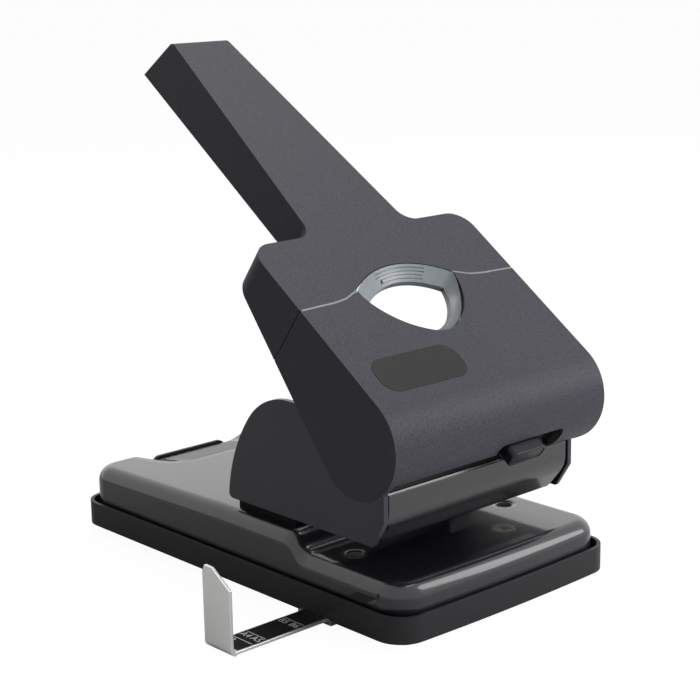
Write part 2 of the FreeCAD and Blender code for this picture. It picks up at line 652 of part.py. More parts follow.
# Guide channel: C-shaped runner screwed under the tray's floor, on the guide's side
def make_guide_channel():
    channel = new_body("guide_channel")
    section = new_sketch(channel, "channel_section", "YZ", "-channel_in")
    lip_high = "strip_low - guide_fit"
    lip_low = lip_high + " - channel_lip_thick"
    slot_top = "strip_top + guide_fit"
    slot_front = "strip_front - guide_fit"
    slot_rear = "strip_rear + guide_fit"
    rail_front = slot_front + " - channel_side / 3"
    rail_rear = slot_rear + " + channel_side / 3"
    add_polygon(section, [
        ("strip_front - channel_side", "floor_under"), ("strip_front - channel_side", "channel_low"),
        (rail_front, "channel_low"), (rail_front, lip_low), ("strip_front + channel_lip", lip_low),
        ("strip_front + channel_lip", lip_high), (slot_front, lip_high), (slot_front, slot_top),
        (slot_rear, slot_top), (slot_rear, lip_high), ("strip_rear - channel_lip", lip_high),
        ("strip_rear - channel_lip", lip_low), (rail_rear, lip_low), (rail_rear, "channel_low"),
        ("strip_rear + channel_side", "channel_low"), ("strip_rear + channel_side", "floor_under")])
    pad(channel, section, "channel_pad", "channel_out - channel_in", backward=True)
    drill(channel, "channel_holes", CHANNEL_SCREWS, "channel_screw")
    screws = new_body("channel_screws", group=True)
    round_pad(screws, "channel_heads", CHANNEL_SCREWS, ["channel_head"], "channel_low - channel_head_high",
              "channel_head_high")
    round_pad(screws, "channel_shanks", CHANNEL_SCREWS, ["channel_screw"], "channel_low",
              "channel_flange + pilot_deep - pilot_end")


make_guide_channel()


# Base pan: pressed sheet with a paper table, an S-shaped step and a deck with a hollow
def pan_profile(inset):
    """Side outline of the pan's top as a face in the YZ plane, drawn in by an inset."""
    table = v("table_top") - inset
    deck = deck_top - inset
    rear_top = deck_top - v("deck_fall") - inset
    run = v("step_run")
    rise = v("deck_rise")
    radius = (run * run + rise * rise) / (4 * rise)
    foot = v("paper_margin")
    front = -v("tray_front") - 5
    rear = v("tray_rear") + 5
    flat_end = foot + run + v("deck_flat")
    turn = math.asin(run / 2 / radius)
    lower = radius + inset
    upper = radius - inset
    lower_mid = Vector(0, foot + lower * math.sin(turn / 2), table + lower * (1 - math.cos(turn / 2)))
    lower_end = Vector(0, foot + lower * math.sin(turn), table + lower * (1 - math.cos(turn)))
    upper_mid = Vector(0, foot + run - upper * math.sin(turn / 2), deck - upper * (1 - math.cos(turn / 2)))
    upper_end = Vector(0, foot + run - upper * math.sin(turn), deck - upper * (1 - math.cos(turn)))
    start = Vector(0, foot, table)
    stop = Vector(0, foot + run, deck)
    low = 0.0
    rear_low = Vector(0, rear, low)
    edges = [
        Part.LineSegment(Vector(0, front, low), Vector(0, front, table)).toShape(),
        Part.LineSegment(Vector(0, front, table), start).toShape(),
        Part.Arc(start, lower_mid, lower_end).toShape(),
        Part.LineSegment(lower_end, upper_end).toShape() if (upper_end - lower_end).Length > 1e-4 else None,
        Part.Arc(upper_end, upper_mid, stop).toShape(),
        Part.LineSegment(stop, Vector(0, flat_end, deck)).toShape(),
        Part.LineSegment(Vector(0, flat_end, deck), Vector(0, rear, rear_top)).toShape(),
        Part.LineSegment(Vector(0, rear, rear_top), rear_low).toShape(),
        Part.LineSegment(rear_low, Vector(0, front, low)).toShape()]
    return Part.Face(Part.Wire([edge for edge in edges if edge is not None]))


def hollow_tool(inset):
    """What is taken out of the deck for its hollow, a smooth trough that deepens to the rear."""
    rear = v("tray_rear")
    bend = v("paper_margin + step_run + deck_flat")
    half = v("hollow_half") - 0.4 * inset
    shares = [(1.0, -0.08), (0.95, 0.0), (0.87, 0.15), (0.75, 0.46), (0.63, 0.83), (0.52, 0.98), (0.3, 1.0),
              (0.0, 1.0)]
    sections = []
    for y, depth in ((v("hollow_front"), 0.0), (rear, v("hollow_depth"))):
        top = deck_top - v("deck_fall") * max(y - bend, 0) / (rear + 5 - bend) - inset
        lift = v("hollow_lead") if depth == 0 else 0.0
        left = [Vector(-half * share, y, top + lift - depth * sunk) for share, sunk in shares]
        right = [Vector(-point.x, y, point.z) for point in reversed(left[:-1])]
        curve = Part.BSplineCurve()
        curve.interpolate(left + right)
        ceiling = deck_top + 6
        lid = [Vector(half, y, left[0].z), Vector(half, y, ceiling), Vector(-half, y, ceiling),
               Vector(-half, y, left[0].z)]
        edges = [Part.LineSegment(a, b).toShape() for a, b in zip(lid, lid[1:])]
        sections.append(Part.Wire([curve.toShape()] + edges))
    return Part.makeLoft(sections, True, True)


def pan_solid(inset):
    low = floor_top + v("pan_seat") - (1 if inset else 0)
    gap = v("tray_wall + pan_gap")
    block = plan_block(gap + inset, low, deck_top + 10, v("tray_front"), v("tray_rear"), v("tray_half"),
                       v("pan_corner") + gap)
    face = pan_profile(inset)
    width = v("tray_half") + 5
    body = face.extrude(Vector(2 * width, 0, 0))
    body.translate(Vector(-width, 0, 0))
    shape = block.common(body)
    edges = []
    for edge in shape.Edges:
        point = middle_of(edge)
        if upright(edge) or point.z < low + 1:
            continue
        way = direction_of(edge)
        if way is not None and abs(way.x) > 0.99 and v("-tray_front + 12") < point.y < v("tray_rear - 12"):
            continue
        edges.append(edge)
    shape = shape.makeFillet(v("pan_round") - inset, edges)
    return shape.cut(hollow_tool(inset))


def make_base_pan():
    pan = pan_solid(0).cut(pan_solid(v("pan_sheet")))
    deep = v("3 * pan_sheet")
    for side in (-1, 1):
        hole = Vector(side * half_spacing, 0, v("table_top - 2 * pan_sheet"))
        pan = pan.cut(Part.makeCylinder(v("table_hole"), deep, hole))
        for y in (v("screw_front"), v("screw_rear")):
            hole = Vector(side * v("screw_x"), y, v("deck_top - 2 * pan_sheet"))
            pan = pan.cut(Part.makeCylinder(v("screw_radius + 2 * screw_play"), deep, hole))
    new_shape("base_pan", pan)


make_base_pan()

# Die plate under the paper table, with its two cutting holes
def make_die_plate():
    die = new_body("die_plate")
    outline = new_sketch(die, "die_outline", "XY", "table_top - pan_sheet - die_thick")
    add_polygon(outline, rectangle("-die_half", "-die_deep", "die_half", "die_rear"))
    pad(die, outline, "die_pad", "die_thick")
    drill(die, "die_holes", [(side + "half_spacing", "0") for side in SIDES], "pin_radius + die_clear")


make_die_plate()
FRAME_SCREWS = [(side + "screw_x", y) for side in SIDES for y in ("screw_front", "screw_rear")]


# Cheeks: side plates with a round rear, a chamfered front and an inward foot flange
def make_cheek(label, side):
    cheek = new_body(label)
    face = side + "cheek_inner"
    outward = side == "-"
    outline = new_sketch(cheek, label + "_outline", "YZ", face)
    add_polygon(outline, [
        ("-cheek_foot", "cheek_low"), ("-cheek_front", "knee_height"), ("-cheek_front", "crown_front"),
        ("crown_rear", "cheek_top"), ("cheek_round_y", "cheek_top"), ("turn_y", "turn_z"),
        ("rear_foot", "cheek_low")], bends={2: "cheek_crown", 4: "cheek_round", 5: "cheek_rear"})
    pad(cheek, outline, label + "_plate", "cheek_sheet", backward=outward)

    def rear_corner(edge):
        point = middle_of(edge)
        return along(edge, "x") and abs(point.z - v("cheek_low")) < 0.01 and point.y > v("flange_rear")

    eased(cheek, "Fillet", label + "_corner", "cheek_sheet", rear_corner)
    flange = new_sketch(cheek, label + "_flange", "XY", "cheek_low")
    add_polygon(flange, rectangle(side + "(cheek_outer - flange_in)", "flange_front",
                                  side + "(cheek_outer - cheek_sheet / 2)", "flange_rear"))
    pad(cheek, flange, label + "_flange_pad", "cheek_sheet")
    drill(cheek, label + "_screw_holes", [place for place in FRAME_SCREWS if place[0] == side + "screw_x"],
          "screw_radius + screw_play")
    drill(cheek, label + "_shaft_hole", [("pivot_y", "pivot_z")], "shaft_radius", "YZ")


make_cheek("left_cheek", "-")
make_cheek("right_cheek", "")


# Front plate: upright, bent back along the cheeks' chamfer, with a foot on the guide bridge
# and a catch for the lock at its top
def make_front_plate():
    plate = new_body("front_plate")
    section = new_sketch(plate, "plate_section", "YZ", "0")
    foot_y = "plate_front + (knee_height - bridge_low) * plate_slope"
    foot_top = "bridge_low + plate_sheet"
    lean = "sqrt(1 + plate_slope ^ 2)"
    inner_foot = "plate_front + (knee_height - (%s)) * plate_slope + plate_sheet * %s" % (foot_top, lean)
    inner_knee = "knee_height + plate_sheet * (%s - 1) / plate_slope" % lean
    add_polygon(section, [
        ("plate_front", "plate_top"), ("plate_front", "knee_height"), (foot_y, "bridge_low"),
        ("-bridge_half_deep", "bridge_low"), ("-bridge_half_deep", foot_top), (inner_foot, foot_top),
        ("plate_front + plate_sheet", inner_knee), ("plate_front + plate_sheet", "plate_top")])
    pad(plate, section, "plate_pad", "2 * plate_half", middle=True)
    corners = new_sketch(plate, "plate_corners", "XZ", "0")
    add_polygon(corners, rectangle("-(plate_half + 1)", "plate_neck", "catch_left", "plate_top + 1"))
    add_polygon(corners, rectangle("catch_right", "plate_neck", "plate_half + 1", "plate_top + 1"))
    for side in SIDES:
        outside = side + "(plate_half + 1)"
        slanted = side + "(plate_half - plate_corner)"
        add_polygon(corners, [(outside, "knee_height"), (side + "plate_half", "knee_height"),
                              (slanted, "bridge_low - 1"), (outside, "bridge_low - 1")])
    pocket(plate, corners, "plate_corner_cut")
    catch = new_sketch(plate, "catch_outline", "XY", "plate_top - plate_sheet")
    add_polygon(catch, rectangle("catch_left", "plate_front - catch_out", "catch_right",
                                 "plate_front + plate_sheet / 2"))
    pad(plate, catch, "catch_pad", "plate_sheet")


make_front_plate()


# Guide bridge: a channel between the cheeks that carries the bushes of the pins
def make_guide_bridge():
    bridge = new_body("guide_bridge")
    section = new_sketch(bridge, "bridge_section", "YZ", "0")
    front = "-bridge_half_deep"
    inside = "bridge_half_deep - bridge_sheet"
    add_polygon(section, [
        (front, "bridge_low"), ("bridge_half_deep", "bridge_low"), ("bridge_half_deep", "bridge_high"),
        (front, "bridge_high"), (front, "bridge_high - bridge_sheet"), (inside, "bridge_high - bridge_sheet"),
        (inside, "bridge_low + bridge_sheet"), (front, "bridge_low + bridge_sheet")])
    pad(bridge, section, "bridge_pad", "2 * cheek_inner", middle=True)
    places = [(side + "half_spacing", "0") for side in SIDES]
    drill(bridge, "bridge_holes", places, "bush_radius")
    bushes = new_body("guide_bushes", group=True)
    round_pad(bushes, "bush_barrels", places, ["bush_radius"], "bridge_low", "bridge_high - bridge_low")
    round_pad(bushes, "bush_flanges", places, ["bush_flange"], "bridge_high", "bush_lip")
    drill(bushes, "bush_bores", places, "pin_radius + pin_clear")


make_guide_bridge()


# Frame spacer on the deck under the flanges of the cheeks, with an upturned front edge that closes
# the frame behind the punches, and what bolts the three together
def make_spacer_and_screws():
    spacer = new_body("frame_spacer")
    outline = new_sketch(spacer, "spacer_outline", "XY", "deck_top")
    add_polygon(outline, rectangle("-spacer_half", "spacer_front", "spacer_half", "spacer_rear"))
    pad(spacer, outline, "spacer_pad", "throat - deck_rise")
    edge = new_sketch(spacer, "edge_outline", "XY", "deck_top")
    half = "(cheek_outer - flange_in - spacer_side_gap)"
    add_polygon(edge, rectangle("-" + half, "spacer_front", half, "spacer_front + spacer_sheet"))
    pad(spacer, edge, "edge_pad", "throat - deck_rise + spacer_high")
    drill(spacer, "spacer_holes", FRAME_SCREWS, "screw_radius + screw_play")
    screws = new_body("frame_screws", group=True)
    round_pad(screws, "frame_shanks", FRAME_SCREWS, ["screw_radius"], "screw_low", "flange_top - screw_low")
    round_pad(screws, "frame_heads", FRAME_SCREWS, ["screw_head"], "flange_top", "screw_head_high")
    head_top = v("flange_top + screw_head_high")
    eased(screws, "Chamfer", "frame_head_chamfers", "screw_head_chamfer",
          lambda edge: middle_of(edge).z > head_top - 0.01)
    nuts = new_body("frame_nuts", group=True)
    hexagons = new_sketch(nuts, "nut_outlines", "XY", "pan_under - nut_high")
    for x, y in FRAME_SCREWS:
        add_polygon(hexagons, [(x + " + nut_radius * cos(%d)" % turn, y + " + nut_radius * sin(%d)" % turn)
                               for turn in range(0, 360, 60)])
    pad(nuts, hexagons, "nut_pads", "nut_high")
    drill(nuts, "nut_bores", FRAME_SCREWS, "screw_radius")


make_spacer_and_screws()


# Pivot shaft in the cheeks, held by two clips
def make_pivot():
    shaft = new_body("pivot_shaft")
    profile = new_sketch(shaft, "shaft_profile", "XY", "0")
    half = [("clip_start", "shaft_radius"), ("clip_start", "groove_radius"), ("clip_end", "groove_radius"),
            ("clip_end", "shaft_radius"), ("shaft_half", "shaft_radius"), ("shaft_half", "0")]
    add_polygon(profile, [("-" + x, y) for x, y in reversed(half)] + half)
    turned(shaft, profile, "shaft_turning", "H_Axis")
    clips = new_body("shaft_clips", group=True)
    for name, lift in (("left", "-clip_end"), ("right", "clip_start")):
        round_pad(clips, name + "_clip", [("0", "0")], ["clip_radius", "groove_radius"], lift, "clip_thick",
                  "YZ")
    mouths = new_sketch(clips, "clip_mouths", "YZ", "0")
    add_polygon(mouths, rectangle("-clip_mouth", "-clip_radius - 1", "clip_mouth", "0"))
    pocket(clips, mouths, "clip_mouth_cut")
    for thing in (shaft, clips):
        put_at(thing, "0", "pivot_y", "pivot_z")


make_pivot()


# Handle: the form of head and lever, in the lever's own frame
# Here X runs across, Y from the pivot to the tip, Z up, with the head's top level.
def face_of(points):
    return Part.Face(Part.makePolygon(points + points[:1]))


def extrude_across(points, half):
    """A side outline (y, z) as a prism that reaches half to each side."""
    return face_of([Vector(-half, y, z) for y, z in points]).extrude(Vector(2 * half, 0, 0))


def extrude_up(points, low, high):
    """A plan outline (x, y) as an upright prism."""
    return face_of([Vector(x, y, low) for x, y in points]).extrude(Vector(0, 0, high - low))


def top_at(y):
    """Height of the handle's top above the pivot: it falls evenly from the round front to the tip."""
    return v("head_round") - v("head_round - tip_top") * max(y, 0) / v("tip_at - tip_slant")


def lever_under(y):
    """Height of the lever's underside above the pivot."""
    share = (y - v("neck_at")) / (v("tip_at") - v("neck_at"))
    return v("lever_low") - v("lever_low + tip_low") * share


def line(start, end):
    return Part.LineSegment(Vector(0, *start), Vector(0, *end)).toShape()


def arc(start, middle, end):
    return Part.Arc(Vector(0, *start), Vector(0, *middle), Vector(0, *end)).toShape()


def side_face():
    """Side outline of the whole handle: round front, falling top, slanted tip, rising underside."""
    radius = v("head_round")
    rear = v("head_long")
    slope = math.radians(v("under_slope"))
    tangent = (radius * math.sin(slope), -radius * math.cos(slope))
    under_rear = tangent[1] + (rear - tangent[0]) * math.tan(slope)
    tip_low = (v("tip_at"), lever_under(v("tip_at")))
    corner = Vector(0, v("tip_at - tip_slant"), v("tip_top"))
    rounding = v("tip_round")
    along = Vector(0, corner.y, corner.z - radius).normalize()
    lean = Vector(0, tip_low[0] - corner.y, tip_low[1] - corner.z).normalize()
    turn = along.getAngle(lean)
    before = corner - along * (rounding * math.tan(turn / 2))
    after = corner + lean * (rounding * math.tan(turn / 2))
    inward = (lean - along).normalize()
    middle = corner + inward * (rounding / math.cos(turn / 2) - rounding)
    nose = (-radius * math.cos(math.radians(30)), radius * math.sin(math.radians(30)))
    edges = [
        arc(tangent, nose, (0, radius)),
        line((0, radius), (before.y, before.z)),
        arc((before.y, before.z), (middle.y, middle.z), (after.y, after.z)),
        line((after.y, after.z), tip_low),
        line(tip_low, (rear, lever_under(rear))),
        line((rear, lever_under(rear)), (rear, under_rear)),
        line((rear, under_rear), tangent)]
    return Part.Face(Part.Wire(edges))


def hollow_face():
    """Side outline of the handle's hollow, open at the underside."""
    wall = v("shell_wall")
    radius = v("head_round") - wall
    end = v("tip_at - tip_slant") - wall
    deep = -FAR
    lean = v("tip_wall_lean")
    high = math.sqrt(0.5) * radius
    edges = [
        arc((-radius, 0), (-high, high), (0, radius)),
        line((0, radius), (end, top_at(end) - wall)),
        line((end, top_at(end) - wall), (end + lean, deep)),
        line((end + lean, deep), (deep, deep)),
        line((deep, deep), (deep, 0)),
        line((deep, 0), (-radius, 0))]
    return Part.Face(Part.Wire(edges))


def lever_half(y, inset=0):
    """Half width of the lever at a distance from the pivot."""
    taper = v("neck_half - tip_half") / v("tip_at - neck_at")
    return v("neck_half") - taper * (y - v("neck_at")) - inset


def head_plan(inset):
    """Plan of the head as an upright prism with round rear corners."""
    half = v("head_half") - inset
    rear = v("head_long") - inset
    prism = extrude_up([(-half, -FAR), (half, -FAR), (half, rear), (-half, rear)], -FAR, FAR)
    corners = [e for e in prism.Edges if upright(e) and middle_of(e).y > 0]
    return prism.makeFillet(v("head_corner") - inset, corners)


def lever_plan(inset):
    """Plan of the tapering lever with its flared neck, which starts inside the head."""
    rear = v("head_long") - inset
    radius = v("neck_round") + inset
    tip = v("tip_at") + 5
    slope = math.atan(v("neck_half - tip_half") / v("tip_at - neck_at"))
    turn = (math.pi / 2 - slope) / 2
    reach = radius * math.tan(turn)
    corner = lever_half(rear, inset)
    flare_end = Vector(corner + reach, rear, -FAR)
    side_start = Vector(corner - reach * math.sin(slope), rear + reach * math.cos(slope), -FAR)
    centre = Vector(corner + reach, rear + radius, -FAR)
    towards = Vector(corner, rear, -FAR) - centre
    flare_middle = centre + towards.normalize() * radius
    tip_corner = Vector(lever_half(tip, inset), tip, -FAR)
    start = Vector(flare_end.x, rear - 8, -FAR)

    def flip(point):
        return Vector(-point.x, point.y, point.z)

    edges = [
        Part.LineSegment(start, flare_end).toShape(),
        Part.Arc(flare_end, flare_middle, side_start).toShape(),
        Part.LineSegment(side_start, tip_corner).toShape(),
        Part.LineSegment(tip_corner, flip(tip_corner)).toShape(),
        Part.LineSegment(flip(tip_corner), flip(side_start)).toShape(),
        Part.Arc(flip(side_start), flip(flare_middle), flip(flare_end)).toShape(),
        Part.LineSegment(flip(flare_end), flip(start)).toShape(),
        Part.LineSegment(flip(start), start).toShape()]
    return Part.Face(Part.Wire(edges)).extrude(Vector(0, 0, 2 * FAR))


def across(face, half):
    """A face in the side plane as a prism that reaches half to each side."""
    prism = face.extrude(Vector(2 * half, 0, 0))
    prism.translate(Vector(-half, 0, 0))
    return prism


def rounded(form, wanted):
    """The form with its upper side edges rounded where the test on an edge's middle allows."""
    edges = []
    for edge in form.Edges:
        point = middle_of(edge)
        crossing = abs(point.x) < 1 and point.y < v("head_long") - 1
        if not crossing and wanted(point):
            edges.append(edge)
    return form.makeFillet(v("head_edge"), edges)


def outer_form():
    """The handle's outer form: head and lever, each rounded, joined without a step."""
    side = across(side_face(), v("head_half") + 5)
    half = v("head_half")
    rear = v("head_long")

    def on_head(point):
        on_top = point.y > 0 and abs(point.z - top_at(point.y)) < 0.05
        on_nose = abs(abs(point.x) - half) < 0.05 and point.y < 0
        return on_top or on_nose

    def on_lever(point):
        on_top = point.y > rear and abs(point.z - top_at(point.y)) < 0.05 and abs(point.x) > 1
        return on_top

    head = rounded(side.common(head_plan(0)), on_head)
    lever = rounded(side.common(lever_plan(0)), on_lever)
    return head.fuse(lever).removeSplitter()


def hollow_form():
    wall = v("shell_wall")
    inside = across(hollow_face(), v("head_half") - wall)
    return inside.common(head_plan(wall)).fuse(inside.common(lever_plan(wall)))


def hole_outline(inset):
    """The finger hole's outline: a three-sided round form, drawn in by an inset."""
    cx = v("hole_corner_x") - 1.2 * inset
    cs = v("hole_corner_s") - 0.55 * inset
    sx = v("hole_side_x") - 0.83 * inset
    ss = v("hole_side_s") + 0.55 * inset
    nx = v("hole_nose_x") - 0.5 * inset
    ns = v("hole_nose_s") + 0.85 * inset
    a = Vector(-cx, cs, 0)
    b = Vector(cx, cs, 0)
    c = Vector(nx, ns, 0)
    d = Vector(-nx, ns, 0)
    return Part.Wire([
        Part.Arc(a, Vector(0, v("hole_rear") - inset, 0), b).toShape(),
        Part.Arc(b, Vector(sx, ss, 0), c).toShape(),
        Part.Arc(c, Vector(0, v("hole_front") + inset, 0), d).toShape(),
        Part.Arc(d, Vector(-sx, ss, 0), a).toShape()])


def hole_prism(inset, low, high):
    prism = Part.Face(hole_outline(inset)).extrude(Vector(0, 0, high - low))
    prism.translate(Vector(0, 0, low))
    return prism


def surface_of(y):
    """Height of the spine's upper face above the pivot, as an expression."""
    return "chassis_top - spine_fall * (%s - chassis_rear) / (spine_end - chassis_rear)" % y


def surface_at(y):
    """Height of the chassis' upper face above the pivot: level web, then the falling spine."""
    return v("chassis_top") if y <= v("chassis_rear") else v(surface_of(str(y)))


def seam_prism(rear_side):
    """Everything before or behind the seam, which bends back to the finger hole's corners."""
    gap = v("seam_gap") / 2 * (1 if rear_side else -1)
    seam = v("seam_at") + gap
    corner = v("hole_corner_s") + gap
    near = v("hole_corner_x") - 1
    far_bend = near + v("seam_bend")
    end = v("tip_at") + FAR if rear_side else -FAR
    outline = [(-FAR, seam), (-far_bend, seam), (-near, corner), (near, corner), (far_bend, seam),
               (FAR, seam), (FAR, end), (-FAR, end)]
    return extrude_up(outline, -FAR, FAR)


def biggest(shape):
    """The largest solid of a cut, which must be nearly all of it."""
    solids = sorted(shape.Solids, key=lambda solid: solid.Volume)
    if sum(solid.Volume for solid in solids[:-1]) > 0.001 * solids[-1].Volume:
        raise RuntimeError("a shape falls apart")
    return solids[-1]


def with_bosses(shell, places):
    """Screw bosses between the chassis and the top wall, with their pilot holes."""
    centres = [(v(x), v(y)) for x, y in places]
    deep = v("chassis_screw_deep + boss_room")
    for x, y in centres:
        low = surface_at(y) + (v("boss_seat") if y > v("chassis_rear") else 0.0)
        high = top_at(y) - v("shell_wall / 2")
        shell = shell.fuse(Part.makeCylinder(v("boss_radius"), high - low, Vector(x, y, low)))
    for x, y in centres:
        shell = shell.cut(Part.makeCylinder(v("chassis_screw"), deep, Vector(x, y, surface_at(y))))
    return shell


def lock_rails():
    """Two rails inside the head's front wall, which hold the rib of the lock bar between them."""
    behind = v("lock_back + lock_fit")
    left = v("button_left - lock_wing - lock_over")
    right = v("button_left + button_wide + lock_run + lock_wing + lock_over")
    thick = v("rail_sheet")
    under = -v("rail_low")
    upper = v("rail_up")
    high = v("rail_upper_high")
    end = v("rail_end")
    lower_rail = Part.makeBox(right - left, thick, v("rail_lower_high"), Vector(left, behind, under))
    rails = lower_rail.fuse(Part.makeBox(right - left, thick, high, Vector(left, behind, upper)))
    reach = v("head_round - shell_wall / 2") + behind + thick
    for x in (left - end, right):
        wall = Part.makeBox(end, 2 * end, upper + high - under, Vector(x, behind + thick - 2 * end, under))
        web = Part.makeBox(end, reach, high, Vector(x, behind + thick - reach, upper))
        rails = rails.fuse(wall).fuse(web)
    return rails


def button_slot():
    """The slot of the lock button: a notch in the head's front lip with round upper corners."""
    high = v("head_round") * math.sin(math.radians(v("slot_angle")))
    notch = Part.makeBox(v("slot_right - slot_left"), 8, high + 8,
                         Vector(v("slot_left"), -v("head_round") - 2, -8))
    edges = [edge for edge in notch.Edges if along(edge, "y") and middle_of(edge).z > 0]
    return notch.makeFillet(high * 0.8, edges)


def low_lip():
    """The front wall beyond the slot's right end, where it goes on down round the nose."""
    start = v("slot_right")
    long = v("head_half - shell_wall / 2") - start
    radius = v("head_round")
    drop = v("lip_drop")
    block = Part.makeBox(long, radius + 1, drop + 1, Vector(start, -radius - 1, -drop))
    bore = Part.makeCylinder(radius - v("shell_wall"), long, Vector(start, 0, 0), RIGHT)
    return outer_form().common(block).cut(bore)


def make_mouldings():
    shell = outer_form().cut(hollow_form())
    shell = shell.cut(hole_prism(0, -FAR, FAR)).cut(button_slot())
    shell = shell.fuse(low_lip()).removeSplitter()
    front = shell.common(seam_prism(False)).fuse(lock_rails())
    rear = shell.common(seam_prism(True))
    new_shape("head_moulding", biggest(with_bosses(front, FRONT_BOSSES)), LEVER)
    new_shape("handle_moulding", biggest(with_bosses(rear, REAR_BOSSES)), LEVER)


# Screw bosses of the two mouldings, in plan: distance from the middle, distance from the pivot
FRONT_BOSSES = [(side + x, y) for side in SIDES
                for x, y in (("boss_front_x", "boss_front"), ("boss_side", "boss_side_front"))]
REAR_BOSSES = [(side + "boss_side", "boss_side_rear") for side in SIDES]
REAR_BOSSES += [("0", "boss_neck"), ("0", "boss_tip")]
make_mouldings()


# Surround of the finger hole, its inner wall drawn in towards the bottom
def make_hole_surround():
    top = v("head_round")
    low = top - v("surround_deep")
    knee = top - v("surround_slope")
    ring = hole_prism(v("surround_fit"), low, top + 0.3)
    lip = v("surround_lip")
    drawn_in = lip + v("surround_slope") * math.tan(math.radians(v("surround_flare")))
    wires = []
    for inset, forward, height in ((lip, 0, top + 0.4), (drawn_in, v("surround_skew"), knee)):
        wire = hole_outline(inset)
        wire.translate(Vector(0, -forward, height))
        wires.append(wire)
    below = Part.Face(wires[1]).extrude(Vector(0, 0, low - knee - 0.1))
    ring = ring.cut(Part.makeLoft(wires, True, True).fuse(below))
    new_shape("hole_surround", biggest(ring), LEVER)


make_hole_surround()


# Lever chassis: a steel channel with ears on the shaft and a spine into the lever
def make_chassis():
    thick = v("chassis_sheet")
    half = v("chassis_half")
    top = v("chassis_top")
    ear = v("ear_radius")
    rear = v("chassis_rear")
    bar_y = v("bar_y")
    bar_z = v("bar_z")
    web = v("arm_web")
    arm_low = bar_z - v("bar_radius") - web
    ear_low = v("ear_flat") - ear
    side = [(0, ear_low), (0, ear), (v("chassis_web_front"), top), (rear, top), (rear, v("skirt_rear")),
            (v("skirt_bend"), v("skirt_low")), (bar_y + v("arm_rear"), arm_low),
            (bar_y - v("arm_front"), arm_low)]
    inside = [(-FAR, -FAR), (-FAR, top - thick), (rear + 1, top - thick), (rear + 1, -FAR)]
    chassis = extrude_across(side, half).cut(extrude_across(inside, half - thick))
    for start in (half - thick, -half):
        chassis = chassis.fuse(Part.makeCylinder(ear, thick, Vector(start, 0, 0), RIGHT))
    end = v("spine_end")
    spine_half = v("spine_half")
    deep = v("spine_deep")
    root = rear - v("spine_root")
    end_top = surface_at(end)
    spine_side = [(root, top), (rear, top), (end, end_top), (end, end_top - deep), (root, top - deep)]
    spine_inside = [(root - 1, top - thick), (rear, top - thick), (end + 1, end_top - thick), (end + 1, -FAR),
                    (root - 1, -FAR)]
    spine = extrude_across(spine_side, spine_half).cut(extrude_across(spine_inside, spine_half - thick))
    window = hole_prism(-v("window_margin"), top - 3 * web, top + web)
    chassis = chassis.fuse(spine).cut(window).removeSplitter()
    for y, z, radius in ((0, 0, v("bush_outer")), (bar_y, bar_z, v("bar_radius"))):
        chassis = chassis.cut(Part.makeCylinder(radius, 2 * half + 2, Vector(-half - 1, y, z), RIGHT))
    for x, y in FRONT_BOSSES + REAR_BOSSES:
        hole = Vector(v(x), v(y), top - 3 * thick)
        chassis = chassis.cut(Part.makeCylinder(v("chassis_screw + screw_play"), 4 * thick, hole))
    new_shape("lever_chassis", chassis, LEVER)


# Bushes of the chassis on the shaft, and the bar that drives the pins
def make_bushes_and_bar():
    bushes = new_body("lever_bushes", group=True)
    for name, lift in (("left", "-chassis_half"), ("right", "chassis_half - chassis_sheet")):
        round_pad(bushes, name + "_bush", [("0", "0")], ["bush_outer", "bush_bore"], lift, "chassis_sheet",
                  "YZ")
    bar = new_body("drive_bar")
    circle = new_sketch(bar, "bar_circle", "YZ", "0")
    add_circle(circle, "bar_y", "bar_z", "bar_radius")
    pad(bar, circle, "bar_pad", "2 * chassis_half", middle=True)
    for thing in (bushes, bar):
        put_on_lever(thing)


# Screws of the mouldings: those of the web stand level, those of the spine follow its fall
def make_chassis_screws():
    screws = new_body("chassis_screws", group=True)
    rows = [("web", FRONT_BOSSES + REAR_BOSSES[:2], "chassis_top"),
            ("neck", REAR_BOSSES[2:3], surface_of("boss_neck") + " - spine_seat"),
            ("tip", REAR_BOSSES[3:], surface_of("boss_tip") + " - spine_seat")]
    for name, places, surface in rows:
        under = surface + " - chassis_sheet"
        round_pad(screws, name + "_screw_heads", places, ["chassis_screw_head"],
                  under + " - chassis_head_high", "chassis_head_high")
        round_pad(screws, name + "_screw_shanks", places, ["chassis_screw"], under,
                  "chassis_sheet + chassis_screw_deep")
    put_on_lever(screws)


make_chassis()
make_bushes_and_bar()
make_chassis_screws()


# Punch pins with their collars, and the springs that lift them
def make_pin(label, side):
    pin = new_body(label)
    profile = new_sketch(pin, label + "_profile", "XZ", "0")
    add_polygon(profile, [
        ("0", "pin_tip + pin_hollow"), ("pin_radius", "pin_tip"), ("pin_radius", "collar_low"),
        ("collar_radius", "collar_low"), ("collar_radius", "pin_top - collar_chamfer"),
        ("collar_radius - collar_chamfer", "pin_top"), ("0", "pin_top")])
    turned(pin, profile, label + "_turning", "V_Axis")
    put_at(pin, side + "half_spacing", "0", "0")


make_pin("punch_pin_left", "-")
make_pin("punch_pin_right", "")


def spring_path(radius, height, turns):
    """One helix as quarter-turn arcs."""
    steps = int(round(turns * 8))
    points = []
    for k in range(steps + 1):
        angle = 2 * math.pi * turns * k / steps
        points.append(Vector(radius * math.cos(angle), radius * math.sin(angle), height * k / steps))
    arcs = [Part.Arc(points[k], points[k + 1], points[k + 2]).toShape() for k in range(0, steps - 1, 2)]
    return Part.Wire(arcs), points


